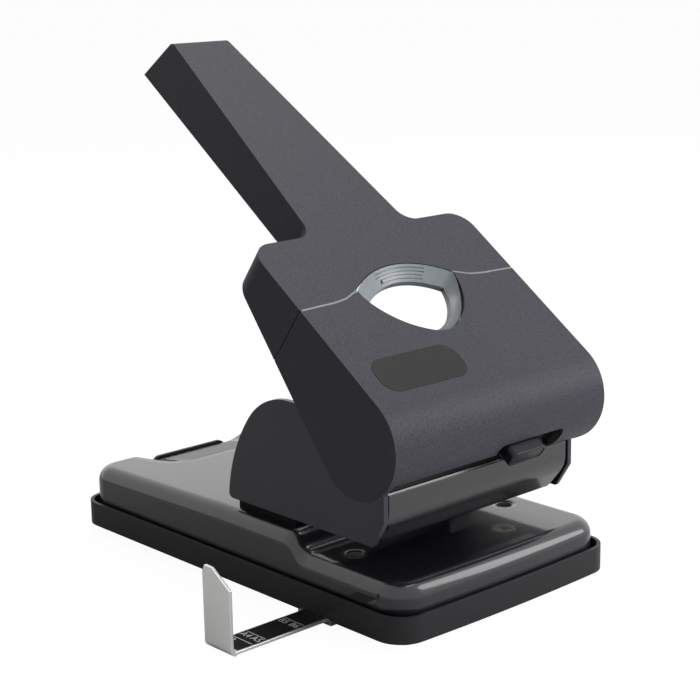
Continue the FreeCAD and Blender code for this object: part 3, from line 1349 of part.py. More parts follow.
def make_springs():
    radius = v("spring_radius")
    wire = v("spring_wire")
    low = v("bridge_high + bush_lip + spring_wire + spring_play")
    high = v("collar_low - spring_wire - spring_play")
    path, points = spring_path(radius, high - low, v("spring_turns"))
    start = path.Edges[0].tangentAt(path.Edges[0].FirstParameter)
    section = Part.Wire([Part.Circle(points[0], start, wire).toShape()])
    tube = path.makePipeShell([section], True, False)
    for label, side in (("pin_spring_left", -1), ("pin_spring_right", 1)):
        new_shape(label, tube.copy(), Placement(Vector(side * half_spacing, 0, low), Rotation()))


make_springs()


# Lock button in the head's front slot, and its bar with the tongue that goes over the catch
def make_lock():
    button = new_body("lock_button")
    face = new_sketch(button, "button_outline", "XZ", "lock_bar_front")
    add_polygon(face, rectangle("button_left", "-button_half_high", "button_left + button_wide",
                                "button_half_high"))
    pad(button, face, "button_pad", "head_round + button_out - lock_bar_front")
    eased(button, "Fillet", "button_corners", "button_corner", lambda edge: along(edge, "y"))
    front = -v("head_round + button_out")
    eased(button, "Fillet", "button_rim", "button_edge", lambda edge: abs(middle_of(edge).y - front) < 0.01)
    bar = new_body("lock_bar")
    section = new_sketch(bar, "lock_bar_section", "YZ", "button_left - lock_wing")
    rib_end = "lock_back + lock_fit + rail_sheet - rib_back"
    rib_top = "rib_high - rib_low"
    bar_top = "lock_bar_high - lock_bar_low"
    add_polygon(section, [
        ("-lock_bar_front", "-lock_bar_low"), ("lock_back", "-lock_bar_low"), ("lock_back", "-rib_low"),
        (rib_end, "-rib_low"), (rib_end, rib_top), ("lock_back", rib_top), ("lock_back", bar_top),
        ("-lock_bar_front", bar_top)])
    pad(bar, section, "lock_bar_pad", "button_wide + 2 * lock_wing")
    tongue = new_sketch(bar, "tongue_section", "YZ", "tongue_left")
    tongue_end = "tongue_long - lock_bar_front"
    add_polygon(tongue, [
        ("-lock_bar_front", bar_top + " - tongue_root"), ("lock_back", bar_top + " - tongue_root"),
        ("lock_back", "catch_top"), (tongue_end, "catch_top"), (tongue_end, "catch_top + lock_sheet"),
        ("-lock_bar_front", "catch_top + lock_sheet")])
    pad(bar, tongue, "tongue_pad", "tongue_wide")
    for thing in (button, bar):
        put_on_lever(thing)


make_lock()

# Checks and export
failed = [thing.Label for thing in doc.Objects if {"Invalid", "Error"} & set(thing.State)]
doc.recompute()
failed += [thing.Label for thing in doc.Objects if {"Invalid", "Error"} & set(thing.State)]
if failed:
    raise RuntimeError("failed objects: " + ", ".join(failed))
for thing in nodes:
    if thing.Shape.isNull() or not thing.Shape.isValid():
        raise RuntimeError("bad shape: " + thing.Label)
os.makedirs("parts", exist_ok=True)
for thing in nodes:
    thing.Shape.exportStep("parts/" + thing.Label + ".step")
    print("%-18s %3d solids %9.1f mm3" % (thing.Label, len(thing.Shape.Solids), thing.Shape.Volume))
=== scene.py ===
import math
import bmesh
import bpy
from mathutils import Matrix, Vector
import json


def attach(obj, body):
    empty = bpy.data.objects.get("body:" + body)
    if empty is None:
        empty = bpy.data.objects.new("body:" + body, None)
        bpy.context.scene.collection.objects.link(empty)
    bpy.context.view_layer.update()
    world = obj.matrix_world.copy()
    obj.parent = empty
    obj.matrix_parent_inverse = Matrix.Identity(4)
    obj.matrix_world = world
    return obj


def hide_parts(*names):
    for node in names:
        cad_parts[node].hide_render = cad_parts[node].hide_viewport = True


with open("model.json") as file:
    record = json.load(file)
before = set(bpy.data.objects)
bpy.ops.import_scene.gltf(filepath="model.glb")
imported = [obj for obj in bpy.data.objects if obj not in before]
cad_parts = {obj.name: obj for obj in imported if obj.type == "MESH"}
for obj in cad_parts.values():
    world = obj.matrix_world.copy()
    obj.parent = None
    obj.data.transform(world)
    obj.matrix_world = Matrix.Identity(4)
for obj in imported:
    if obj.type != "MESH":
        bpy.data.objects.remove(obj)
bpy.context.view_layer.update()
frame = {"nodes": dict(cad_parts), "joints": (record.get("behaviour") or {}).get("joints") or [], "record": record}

# %% [markdown]
# ## Units and places that everything else starts from
# Blender works in metres and the sizes of a hole punch are easiest to say in millimetres, so one
# constant turns one into the other, and points nearer than NEAR count as one. The places that matter
# most, the lever's axle and how far the lever leans back at rest, are read from the frame's own joint
# instead of being typed again, so that the looks always sit where the mechanism is.

# %% Read the hinge from the frame
MM = 0.001
NEAR = 1e-4
IN_METRES = Matrix.Scale(MM, 4)
hinge = next(joint for joint in frame["joints"] if joint["name"] == "lever_hinge")
PIVOT = Vector(hinge["pos_m"])
LEAN = math.radians(-hinge["range_deg"][0])
LEVER = Matrix.Translation(PIVOT) @ Matrix.Rotation(LEAN, 4, "X") @ IN_METRES
print("axle at", [round(v, 4) for v in PIVOT], " lever leans", round(math.degrees(LEAN), 1), "degrees")

# %% [markdown]
# ## The camera
# The camera stands in front and to the left of the punch, a little above it. It is placed by the
# compass angle and the height angle it looks along, because these are what can be read off a picture
# of a box-shaped thing. The small roll is real: the table edge in the view isn't quite level.

# %% Place the camera
CAMERA_PLACE = Vector((-435.5, -433.3, 240.8)) * MM
CAMERA_TURN = math.radians(-42.33)
CAMERA_TILT = math.radians(13.52)
CAMERA_ROLL = math.radians(-1.07)
LENS_MM = 87.57


def camera_axes(turn, tilt, roll):
    """Right, up and backward directions of a camera with a compass angle, a height angle and a roll."""
    back = Vector((math.sin(turn) * math.cos(tilt), -math.cos(turn) * math.cos(tilt), math.sin(tilt)))
    right = Vector((math.cos(turn), math.sin(turn), 0))
    up = back.cross(right)
    turned_right = right * math.cos(roll) + up * math.sin(roll)
    turned_up = up * math.cos(roll) - right * math.sin(roll)
    return turned_right, turned_up, back


camera_data = bpy.data.cameras.new("camera")
camera_data.lens = LENS_MM
camera_data.sensor_width = 36
camera = bpy.data.objects.new("camera", camera_data)
right, up, back = camera_axes(CAMERA_TURN, CAMERA_TILT, CAMERA_ROLL)
camera.matrix_world = Matrix.Translation(CAMERA_PLACE) @ Matrix((right, up, back)).transposed().to_4x4()
bpy.context.scene.collection.objects.link(camera)
bpy.context.scene.camera = camera
print("camera", [round(v, 3) for v in camera.location], "lens", LENS_MM)

# %% [markdown]
# ## Light, floor and world
# Dark glossy things show their shape by what they reflect. A studio gives them large soft lamps and a
# pale room. The room is the world here: rays that leave the camera, mirror or glass see it as white,
# while its light on the object stays lower, so that black plastic stays black. The floor hides its own
# edge the same way, yet it still takes the object's soft shadow.

# %% Make the world and the lamps
def ray_mix(nodes, links, plain, seen, rays):
    """A mix of two shaders: seen answers the named kinds of ray, plain all others."""
    path = nodes.new("ShaderNodeLightPath")
    factor = path.outputs[rays[0]]
    for ray in rays[1:]:
        either = nodes.new("ShaderNodeMath")
        either.operation = "MAXIMUM"
        links.new(factor, either.inputs[0])
        links.new(path.outputs[ray], either.inputs[1])
        factor = either.outputs[0]
    mix = nodes.new("ShaderNodeMixShader")
    links.new(factor, mix.inputs[0])
    links.new(plain.outputs[0], mix.inputs[1])
    links.new(seen.outputs[0], mix.inputs[2])
    return mix


def make_world(light_level):
    """A white room whose light on the object is kept at light_level."""
    world = bpy.data.worlds.new("studio")
    bpy.context.scene.world = world
    world.use_nodes = True
    nodes, links = world.node_tree.nodes, world.node_tree.links
    nodes.clear()
    plain = nodes.new("ShaderNodeBackground")
    plain.inputs["Color"].default_value = (light_level, light_level, light_level * 1.02, 1)
    seen = nodes.new("ShaderNodeBackground")
    seen.inputs["Color"].default_value = (1, 1, 1, 1)
    mix = ray_mix(nodes, links, plain, seen, ("Is Camera Ray", "Is Glossy Ray", "Is Transmission Ray"))
    links.new(mix.outputs[0], nodes.new("ShaderNodeOutputWorld").inputs[0])


def make_lamp(name, place, aim, size, watts):
    """A square soft lamp at place that shines towards aim."""
    data = bpy.data.lights.new(name, "AREA")
    data.shape = "RECTANGLE"
    data.size, data.size_y = size
    data.energy = watts
    lamp = bpy.data.objects.new(name, data)
    lamp.location = place
    lamp.rotation_euler = (Vector(aim) - Vector(place)).to_track_quat("-Z", "Y").to_euler()
    bpy.context.scene.collection.objects.link(lamp)
    return lamp


AIM = (0, 0.02, 0.08)
make_world(0.13)
front_lamp = make_lamp("front_lamp", (0.45, -1.20, 0.40), AIM, (0.7, 0.7), 12)
front_lamp.visible_glossy = False
make_lamp("top_lamp", (0.35, 0.15, 1.20), AIM, (0.7, 0.7), 5)
make_lamp("edge_lamp", (0.55, -0.47, 0.47), (-0.05, -0.03, 0.08), (0.30, 0.60), 2.4)
bpy.context.scene.view_settings.view_transform = "Standard"

# %% Make the floor
floor_bm = bmesh.new()
bmesh.ops.create_grid(floor_bm, x_segments=1, y_segments=1, size=30)
floor_mesh = bpy.data.meshes.new("floor")
floor_bm.to_mesh(floor_mesh)
floor_bm.free()
floor = bpy.data.objects.new("floor", floor_mesh)
bpy.context.scene.collection.objects.link(floor)


def floor_material():
    """Pale floor: the camera sees it nearly white, with the object's soft shadow mixed in."""
    material = bpy.data.materials.new("pale_floor")
    material.use_nodes = True
    nodes, links = material.node_tree.nodes, material.node_tree.links
    nodes.clear()
    matt = nodes.new("ShaderNodeBsdfDiffuse")
    matt.inputs["Color"].default_value = (0.80, 0.80, 0.80, 1)
    glow = nodes.new("ShaderNodeEmission")
    glow.inputs["Color"].default_value = (1, 1, 1, 1)
    glow.inputs["Strength"].default_value = 1.12
    seen = nodes.new("ShaderNodeMixShader")
    seen.inputs[0].default_value = 0.86
    links.new(matt.outputs[0], seen.inputs[1])
    links.new(glow.outputs[0], seen.inputs[2])
    mix = ray_mix(nodes, links, matt, seen, ("Is Camera Ray",))
    links.new(mix.outputs[0], nodes.new("ShaderNodeOutputMaterial").inputs[0])
    return material


floor.data.materials.append(floor_material())

# %% [markdown]
# ## Finishes
# Each finish is a Principled shader. What makes it read as moulded plastic, enamel or plated steel
# isn't its colour but the small relief: a fine noise through a Bump node, in Object coordinates so
# that the grain keeps its real size on every piece. Numbers that are the same all over a surface are
# typed on the shader's own sockets.

# %% Helpers for finishes
def finish(name, color, rough, metallic=0.0, coat=0.0, coat_rough=0.05, specular=0.5):
    """A Principled material with its plain values; returns the material and its shader node."""
    material = bpy.data.materials.new(name)
    material.use_nodes = True
    shader = material.node_tree.nodes["Principled BSDF"]
    shader.inputs["Base Color"].default_value = (*color, 1)
    shader.inputs["Roughness"].default_value = rough
    shader.inputs["Metallic"].default_value = metallic
    shader.inputs["Coat Weight"].default_value = coat
    shader.inputs["Coat Roughness"].default_value = coat_rough
    shader.inputs["Specular IOR Level"].default_value = specular
    return material, shader


def add_grain(material, shader, size_mm, height_mm, detail, stretch):
    """Fine relief: noise of a real size in millimetres drives a Bump node."""
    nodes, links = material.node_tree.nodes, material.node_tree.links
    place = nodes.new("ShaderNodeTexCoord")
    mapping = nodes.new("ShaderNodeMapping")
    mapping.inputs["Scale"].default_value = stretch
    noise = nodes.new("ShaderNodeTexNoise")
    noise.inputs["Scale"].default_value = 1 / (size_mm * MM)
    noise.inputs["Detail"].default_value = detail
    bump = nodes.new("ShaderNodeBump")
    bump.inputs["Distance"].default_value = height_mm * MM
    bump.inputs["Strength"].default_value = 1.0
    links.new(place.outputs["Object"], mapping.inputs["Vector"])
    links.new(mapping.outputs["Vector"], noise.inputs["Vector"])
    links.new(noise.outputs["Fac"], bump.inputs["Height"])
    links.new(bump.outputs["Normal"], shader.inputs["Normal"])
    return noise


def add_tint(material, shader, noise, dark, light):
    """Colour that varies with a noise between two tones."""
    nodes, links = material.node_tree.nodes, material.node_tree.links
    ramp = nodes.new("ShaderNodeValToRGB")
    ramp.color_ramp.elements[0].position = 0.35
    ramp.color_ramp.elements[0].color = (*dark, 1)
    ramp.color_ramp.elements[1].position = 0.65
    ramp.color_ramp.elements[1].color = (*light, 1)
    links.new(noise.outputs["Fac"], ramp.inputs["Fac"])
    links.new(ramp.outputs["Color"], shader.inputs["Base Color"])


# %% Make the finishes
FINISHES = {}


def keep_finish(name, color, rough, grain, detail=2.0, stretch=(1, 1, 1), tones=(), **values):
    """Make a finish with its grain, given as size and height in mm, and its two tones if it has them."""
    material, shader = finish(name, color, rough, **values)
    noise = add_grain(material, shader, *grain, detail, stretch)
    if tones:
        add_tint(material, shader, noise, *tones)
    FINISHES[name] = material


keep_finish("moulding", (0.045, 0.045, 0.052), 0.45, (0.55, 0.05), detail=3, specular=0.2,
            tones=((0.031, 0.031, 0.039), (0.059, 0.059, 0.073)))
keep_finish("tray", (0.016, 0.016, 0.018), 0.42, (0.5, 0.012), specular=0.3,
            tones=((0.014, 0.014, 0.016), (0.019, 0.019, 0.021)))
keep_finish("pan", (0.010, 0.010, 0.015), 0.34, (2.5, 0.015), detail=1, coat=0.95, coat_rough=0.07,
            specular=0.3)
keep_finish("cheek", (0.022, 0.022, 0.032), 0.32, (0.8, 0.006), coat=0.35, coat_rough=0.2, specular=0.4)
keep_finish("plate", (0.010, 0.010, 0.012), 0.22, (2.0, 0.01), detail=1, coat=1.0, coat_rough=0.12)
keep_finish("surround", (0.175, 0.195, 0.215), 0.35, (3.0, 0.01), detail=1, coat=0.5, coat_rough=0.2)
keep_finish("button", (0.007, 0.008, 0.010), 0.30, (1.5, 0.008), detail=1, coat=0.1, coat_rough=0.12,
            specular=0.25)
keep_finish("guide", (0.86, 0.86, 0.84), 0.30, (0.4, 0.004), stretch=(0.1, 1, 1), metallic=1.0)
keep_finish("steel", (0.50, 0.51, 0.52), 0.35, (0.5, 0.004), metallic=1.0)
keep_finish("plated", (0.62, 0.62, 0.60), 0.30, (0.6, 0.004), metallic=1.0)
keep_finish("pin", (0.56, 0.57, 0.58), 0.18, (0.3, 0.003), metallic=1.0)
keep_finish("spring", (0.42, 0.43, 0.44), 0.3, (0.3, 0.003), metallic=1.0)
keep_finish("bush", (0.52, 0.40, 0.20), 0.38, (0.4, 0.004), metallic=1.0)
keep_finish("foot", (0.022, 0.022, 0.022), 0.75, (0.7, 0.03))
keep_finish("sticker", (0.022, 0.022, 0.022), 0.42, (1.2, 0.003), detail=1, specular=0.15)
keep_finish("scale", (0.006, 0.006, 0.007), 0.45, (0.8, 0.002), detail=1, specular=0.1)
keep_finish("print", (0.80, 0.80, 0.80), 0.5, (0.4, 0.002), detail=1)
# A near-black matt finish that paints deep shade on parts seen only in shadow
keep_finish("dark", (0.005, 0.005, 0.006), 0.6, (0.6, 0.004), specular=0.1)
print("finishes:", len(FINISHES))

# %% Give every carried-over node its finish
# The three nodes that can be glimpsed behind the button's slot and between the cheeks sit in deep shade and look
# black: their near-black matt finish is painted shade, in place of their own finish
SHADE_PAINTED_NODES = ("lock_bar", "frame_spacer", "guide_bridge")
slots = {part["node"]: part["material_slot"] for part in frame["record"]["subparts"]}
for name, obj in frame["nodes"].items():
    obj.data.materials.clear()
    obj.data.materials.append(FINISHES["dark" if name in SHADE_PAINTED_NODES else slots[name]])
print("slots read for", len(slots), "nodes")

# %% [markdown]
# ## How a piece is made here
# Every new piece starts as a small bmesh: an outline face, a box or a circle that operators then
# extrude, inset, bevel or spin. When the shape is right it becomes an object at the origin, with its
# place in its mesh, gets its finish and is told which moving body it rides on. Flat walls stay crisp
# because edges sharper than a given angle split their shading, and a Weighted Normal modifier keeps
# large faces flat next to small rounded strips.

# %% Helpers that turn a bmesh into a piece
def add_object(name, bm):
    """An object at the origin that holds the bmesh, which is freed."""
    mesh = bpy.data.meshes.new(name)
    bm.to_mesh(mesh)
    bm.free()
    obj = bpy.data.objects.new(name, mesh)
    bpy.context.scene.collection.objects.link(obj)
    return obj


def new_piece(name, bm, place=IN_METRES):
    """A piece drawn in millimetres: place puts its mesh into the frame, the object stays at the origin."""
    obj = add_object(name, bm)
    obj.data.transform(place)
    return obj


def soften(obj, width_mm, segments=3, angle=35):
    """A Bevel modifier on every edge sharper than the angle: the small rounding of a real edge."""
    bevel = obj.modifiers.new("edge_rounding", "BEVEL")
    bevel.width = width_mm * MM
    bevel.segments = segments
    bevel.limit_method = "ANGLE"
    bevel.angle_limit = math.radians(angle)


def dress(obj, body, finish_name, replaced=(), smooth_angle=35):
    """Shading, finish and body of a finished piece, and the frame nodes it stands for."""
    mesh = obj.data
    mesh.shade_smooth()
    mesh.set_sharp_from_angle(angle=math.radians(smooth_angle))
    weighted = obj.modifiers.new("flat_faces_stay_flat", "WEIGHTED_NORMAL")
    weighted.keep_sharp = True
    mesh.materials.append(FINISHES[finish_name])
    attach(obj, body)
    if replaced:
        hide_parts(*replaced)
    triangles = sum(len(polygon.vertices) - 2 for polygon in mesh.polygons)
    print(f"{obj.name}: {triangles} triangles before modifiers, rides on {body}")


# %% Helpers for outlines
def arc_points(centre, radius, start, end, steps):
    """Points on an arc from one angle to another, in degrees; both ends are included."""
    points = []
    for k in range(steps + 1):
        angle = math.radians(start + (end - start) * k / steps)
        points.append((centre[0] + radius * math.cos(angle), centre[1] + radius * math.sin(angle)))
    return points


def rectangle(left, right_end, low, high):
    """Four corners, anticlockwise from the low left one."""
    return [(left, low), (right_end, low), (right_end, high), (left, high)]


def outline_face(bm, points, place):
    """One face from outline points (a, b), laid in space by the function place."""
    return bm.faces.new([bm.verts.new(place(a, b)) for a, b in points])


def round_corner(bm, vert, radius, segments=8):
    """Round one corner of a flat outline face, convex or concave, to the radius."""
    ends = [(edge.other_vert(vert).co - vert.co).normalized() for edge in vert.link_edges]
    turn = math.pi - ends[0].angle(ends[1])
    bmesh.ops.bevel(bm, geom=[vert], offset=radius * math.tan(turn / 2), offset_type="OFFSET",
                    affect="VERTICES", segments=segments, profile=0.5, material=-1)


def pull_out(bm, faces, vector):
    """Extrude faces along a vector; returns the moved faces."""
    made = bmesh.ops.extrude_face_region(bm, geom=faces)["geom"]
    verts = [item for item in made if isinstance(item, bmesh.types.BMVert)]
    bmesh.ops.translate(bm, verts=verts, vec=vector)
    return [item for item in made if isinstance(item, bmesh.types.BMFace)]


def face_outwards(bm):
    bmesh.ops.recalc_face_normals(bm, faces=bm.faces)


def solid_from(points, vector, place, radii=None, segments=8):
    """A closed solid: an outline face, its corners rounded where radii says so, then pulled out."""
    bm = bmesh.new()
    face = outline_face(bm, points, place)
    for vert, radius in zip(list(face.verts), radii or []):
        if radius:
            round_corner(bm, vert, radius, segments)
    pull_out(bm, bm.faces[:], vector)
    face_outwards(bm)
    return bm


# %% [markdown]
# ## Cutting one shape with another
# Openings that go through a curved wall are easiest to cut: a Boolean modifier with its exact solver
# takes one closed shape from another, adds them, or keeps what they share. The modifier is applied at
# once, so that no helper object is left in the scene.

# %% Helpers for cuts
def combined(bm, tool, operation):
    """The bmesh after an exact Boolean with the tool; both are used up."""
    target = add_object("target", bm)
    cutter = add_object("cutter", tool)
    boolean = target.modifiers.new("cut", "BOOLEAN")
    boolean.operation = operation
    boolean.solver = "EXACT"
    boolean.object = cutter
    depsgraph = bpy.context.evaluated_depsgraph_get()
    result = bmesh.new()
    result.from_mesh(target.evaluated_get(depsgraph).to_mesh())
    for obj in (target, cutter):
        mesh = obj.data
        bpy.data.objects.remove(obj)
        bpy.data.meshes.remove(mesh)
    bmesh.ops.remove_doubles(result, verts=result.verts, dist=NEAR)
    bmesh.ops.dissolve_degenerate(result, edges=result.edges, dist=NEAR)
    return result


def cut(bm, *tools):
    """The bmesh with each tool taken away from it in turn."""
    for tool in tools:
        bm = combined(bm, tool, "DIFFERENCE")
    return bm


def block(low, high):
    """A box between two corners as a bmesh."""
    bm = bmesh.new()
    bmesh.ops.create_cube(bm, size=1)
    bmesh.ops.scale(bm, vec=Vector(high) - Vector(low), verts=bm.verts)
    bmesh.ops.translate(bm, vec=(Vector(high) + Vector(low)) / 2, verts=bm.verts)
    return bm


def rod(radius, start, end):
    """A round bar between two points as a bmesh."""
    bm = bmesh.new()
    axis = Vector(end) - Vector(start)
    bmesh.ops.create_cone(bm, cap_ends=True, segments=32, radius1=radius, radius2=radius,
                          depth=axis.length)
    turn = axis.to_track_quat("Z", "Y").to_matrix().to_4x4()
    middle_place = Matrix.Translation((Vector(start) + Vector(end)) / 2)
    bmesh.ops.transform(bm, matrix=middle_place @ turn, verts=bm.verts)
    return bm


# %% [markdown]
# ## Chip tray
# The tray is a shallow moulded box that catches the chips: an upright rim, a floor a little above the
# table, a pull tab at the rear and a small notch over the paper guide. Its plan is a rectangle with
# round corners, so one outline face is rounded, pulled up to a block and hollowed by an inset. The
# front is bowed last, by pushing its corners back a little, which keeps the first steps simple.

# %% Tray sizes and its outline
FOOT_HEIGHT = 3.2
TRAY_HALF = 57.2
TRAY_FRONT = -42.0
TRAY_REAR = 153.3
TRAY_CORNER = 10.5
TRAY_BOW = 1.6
TRAY_WALL = 1.5
RIM_TOP = FOOT_HEIGHT + 9.9
FLOOR_UNDER = FOOT_HEIGHT + 1.6
FLOOR_TOP = FLOOR_UNDER + 1.5
TAB_HALF = 20.0
TAB_TOP = FOOT_HEIGHT + 19.7
TAB_CORNER = 4.0
NOTCH = ((-60, -7.1, 0), (-54, 12.8, 3.7))


def base_plan(bm, inset, corner, height):
    """The plan of tray or pan as one face at a height, drawn in by an inset, front edge still straight."""
    half = TRAY_HALF - inset
    front = TRAY_FRONT + inset
    rear = TRAY_REAR - inset
    face = outline_face(bm, rectangle(-half, half, front, rear), lambda x, y: (x, y, height))
    for vert in list(face.verts):
        round_corner(bm, vert, corner, 14)
    long_front = [edge for edge in bm.edges if all(abs(vert.co.y - front) < NEAR for vert in edge.verts)]
    bmesh.ops.subdivide_edges(bm, edges=long_front, cuts=15)
    return bm.faces[:][0]


def bow_front(bm):
    """Push the corners of the front back, so that the front edge bows out in the middle."""
    for vert in bm.verts:
        if vert.co.y < TRAY_FRONT / 2:
            vert.co.y += TRAY_BOW * (vert.co.x / TRAY_HALF) ** 2


# %% Make the tray
def hollow(bm, faces, depth):
    """Leave a wall all round the faces and move what it surrounds by a depth."""
    bmesh.ops.inset_region(bm, faces=faces, thickness=TRAY_WALL, use_even_offset=True)
    pull_out(bm, faces, (0, 0, depth))
    bmesh.ops.delete(bm, geom=[face for face in faces if face.is_valid], context="FACES")


def make_tray():
    bm = bmesh.new()
    face = base_plan(bm, 0, TRAY_CORNER, FOOT_HEIGHT)
    top = pull_out(bm, [face], (0, 0, RIM_TOP - FOOT_HEIGHT))
    face_outwards(bm)
    hollow(bm, top, FLOOR_TOP - RIM_TOP)
    under = [face for face in bm.faces if abs(face.calc_center_median().z - FOOT_HEIGHT) < NEAR]
    hollow(bm, under, FLOOR_UNDER - FOOT_HEIGHT)
    bow_front(bm)
    tab = solid_from(rectangle(-TAB_HALF, TAB_HALF, FLOOR_UNDER, TAB_TOP), (0, TRAY_WALL, 0),
                     lambda x, z: (x, TRAY_REAR - TRAY_WALL, z), [0, 0, TAB_CORNER, TAB_CORNER])
    tray = new_piece("tray_moulding", cut(combined(bm, tab, "UNION"), block(*NOTCH)))
    soften(tray, 0.45)
    dress(tray, "tray", "tray", ["chip_tray"])


make_tray()

# %% [markdown]
# ## Rubber feet
# A foot is a turned shape: half of its section, spun once around its own axis. The lower edge is
# rounded where the rubber meets the table.

# %% Make the feet
FOOT_RADIUS = 6.5
FOOT_EDGE = 0.9
FOOT_HOLLOW = 0.25
FOOT_PLACES = [(side * 44.0, y) for side in (-1, 1) for y in (-29.0, 140.0)]


def turned(profile, place, steps=40):
    """A solid of revolution from (radius, height) points, about an upright axis at place."""
    bm = bmesh.new()
    verts = [bm.verts.new((radius, 0, height)) for radius, height in profile]
    edges = [bm.edges.new(pair) for pair in zip(verts, verts[1:])]
    bmesh.ops.spin(bm, geom=verts + edges, cent=(0, 0, 0), axis=(0, 0, 1), angle=2 * math.pi,
                   steps=steps, use_merge=True)
    bmesh.ops.remove_doubles(bm, verts=bm.verts, dist=NEAR)
    face_outwards(bm)
    bmesh.ops.translate(bm, vec=place, verts=bm.verts)
    return bm


def joined(parts):
    """Several bmeshes as one, side by side."""
    whole = bmesh.new()
    for part in parts:
        mesh = bpy.data.meshes.new("part")
        part.to_mesh(mesh)
        part.free()
        whole.from_mesh(mesh)
        bpy.data.meshes.remove(mesh)
    return whole


def make_feet():
    rounding = arc_points((FOOT_RADIUS - FOOT_EDGE, FOOT_EDGE), FOOT_EDGE, -90, 0, 5)
    profile = [(0, FOOT_HOLLOW), (3.0, FOOT_HOLLOW), (3.4, 0)] + rounding
    profile += [(FOOT_RADIUS, FLOOR_UNDER), (0, FLOOR_UNDER)]
    feet = joined([turned(profile, (x, y, 0)) for x, y in FOOT_PLACES])
    dress(new_piece("feet", feet), "tray", "foot", ["rubber_feet"])


make_feet()

# %% [markdown]
# ## Base pan
# The pan is pressed from one sheet and enamelled, so every edge is a soft shoulder. It is easiest to
# think of it as a height map: a flat plan with fine lines in it, lifted point by point. The rings of
# the shoulder come from insets, closer together where it bends most, and straight cuts carry the
# S-shaped step and the trough at the rear. Then the walls are pulled down, the sheet gets its
# thickness, and a bell-shaped tool cuts the two punch holes with their drawn-in rims.

# %% Pan sizes and its height map
PAN_GAP = TRAY_WALL + 1.1
PAN_LOW = FLOOR_TOP + 0.2
PAN_SHEET = 1.2
PAN_CORNER = 11.5
SHOULDER = 6.0
TABLE_TOP = 23.2
STEP_START = 12.0
STEP_RUN = 12.0
STEP_RISE = 6.5
DECK_TOP = TABLE_TOP + STEP_RISE
DECK_FLAT_END = STEP_START + STEP_RUN + 38.0
DECK_FALL = 2.4
TROUGH_HALF = 38.0
TROUGH_START = 116.5
TROUGH_LEAD = 1.0
TROUGH_DEPTH = 5.8
HOLE_PLACES = [(-40.0, 0.0), (40.0, 0.0)]
HOLE_RADIUS = 3.2
DISH_RADIUS = 6.4
DISH_DEPTH = 0.7


def smooth_share(value, start, end):
    """0 at start, 1 at end, with an even S-shaped change between."""
    share = min(max((value - start) / (end - start), 0.0), 1.0)
    return share * share * (3 - 2 * share)


def step_height(y):
    """Height of the table, the S-shaped step of two equal arcs, or the falling deck."""
    arc = (STEP_RUN ** 2 + STEP_RISE ** 2) / (4 * STEP_RISE)
    into = y - STEP_START
    if into <= 0:
        return TABLE_TOP
    if into <= STEP_RUN / 2:
        return TABLE_TOP + arc - math.sqrt(arc ** 2 - into ** 2)
    if into <= STEP_RUN:
        return DECK_TOP - arc + math.sqrt(arc ** 2 - (STEP_RUN - into) ** 2)
    fall = max(y - DECK_FLAT_END, 0) / (TRAY_REAR + 5 - DECK_FLAT_END)
    return DECK_TOP - DECK_FALL * fall


def trough_depth(x, y):
    """Depth of the trough: a slope from just above the deck down to the rear edge."""
    along = max(y - TROUGH_START, 0) / (TRAY_REAR - TROUGH_START)
    across = 1 - smooth_share(abs(x) / TROUGH_HALF, 0.5, 0.97)
    return max(TROUGH_DEPTH * across * along - TROUGH_LEAD * (1 - along), 0)


def edge_distance(x, y):
    """Distance from the pan's outline, measured inwards on the straight-fronted plan."""
    across = TRAY_HALF - PAN_GAP - abs(x)
    along = min(y - TRAY_FRONT, TRAY_REAR - y) - PAN_GAP
    if across < PAN_CORNER and along < PAN_CORNER:
        return PAN_CORNER - math.hypot(PAN_CORNER - across, PAN_CORNER - along)
    return min(across, along)


def pan_height(x, y):
    """Height of the pan's skin; shoulder and trough blend where both pull it down."""
    inside = min(max(edge_distance(x, y), 0), SHOULDER)
    shoulder = SHOULDER - math.sqrt(SHOULDER ** 2 - (SHOULDER - inside) ** 2)
    return step_height(y) - (shoulder ** 3 + trough_depth(x, y) ** 3) ** (1 / 3)


# %% Make the pan
def cut_lines(bm, normal, places, wanted=lambda face: True):
    """Cut the faces of a flat mesh along straight lines square to a normal."""
    for place in places:
        faces = [face for face in bm.faces if wanted(face)]
        edges = list({edge for face in faces for edge in face.edges})
        verts = list({vert for edge in edges for vert in edge.verts})
        bmesh.ops.bisect_plane(bm, geom=verts + edges + faces, plane_co=Vector(normal) * place,
                               plane_no=normal, dist=NEAR)


def pan_skin():
    """The pan's outer skin with its walls, open below."""
    bm = bmesh.new()
    inner = [base_plan(bm, PAN_GAP, PAN_CORNER, PAN_LOW)]
    angles = [math.radians(7.5 * k) for k in range(13)]
    rings = [SHOULDER * (1 - math.cos(angle)) for angle in angles]
    for outer_ring, inner_ring in zip(rings, rings[1:]):
        bmesh.ops.inset_region(bm, faces=inner, thickness=inner_ring - outer_ring, use_boundary=True,
                               use_even_offset=True)
    table_lines = [-20, -10, 0, 6]
    step_lines = [STEP_START + 0.75 * k for k in range(17)]
    deck_lines = [DECK_FLAT_END, 80, 100]
    trough_across = [1.5 * k for k in range(-26, 27)]
    trough_along = [TROUGH_START + 1.1 * k for k in range(26)]

    def in_trough(face):
        centre = face.calc_center_median()
        return abs(centre.x) < trough_across[-1] and edge_distance(*centre.xy) > SHOULDER

    cut_lines(bm, (1, 0, 0), trough_across)
    cut_lines(bm, (0, 1, 0), table_lines + step_lines + deck_lines)
    cut_lines(bm, (0, 1, 0), trough_along, in_trough)
    outer = [edge for edge in bm.edges if edge.is_boundary]
    for vert in bm.verts:
        vert.co.z = pan_height(vert.co.x, vert.co.y)
    walls = bmesh.ops.extrude_edge_only(bm, edges=outer)["geom"]
    for vert in (item for item in walls if isinstance(item, bmesh.types.BMVert)):
        vert.co.z = PAN_LOW
    bow_front(bm)
    face_outwards(bm)
    return bm


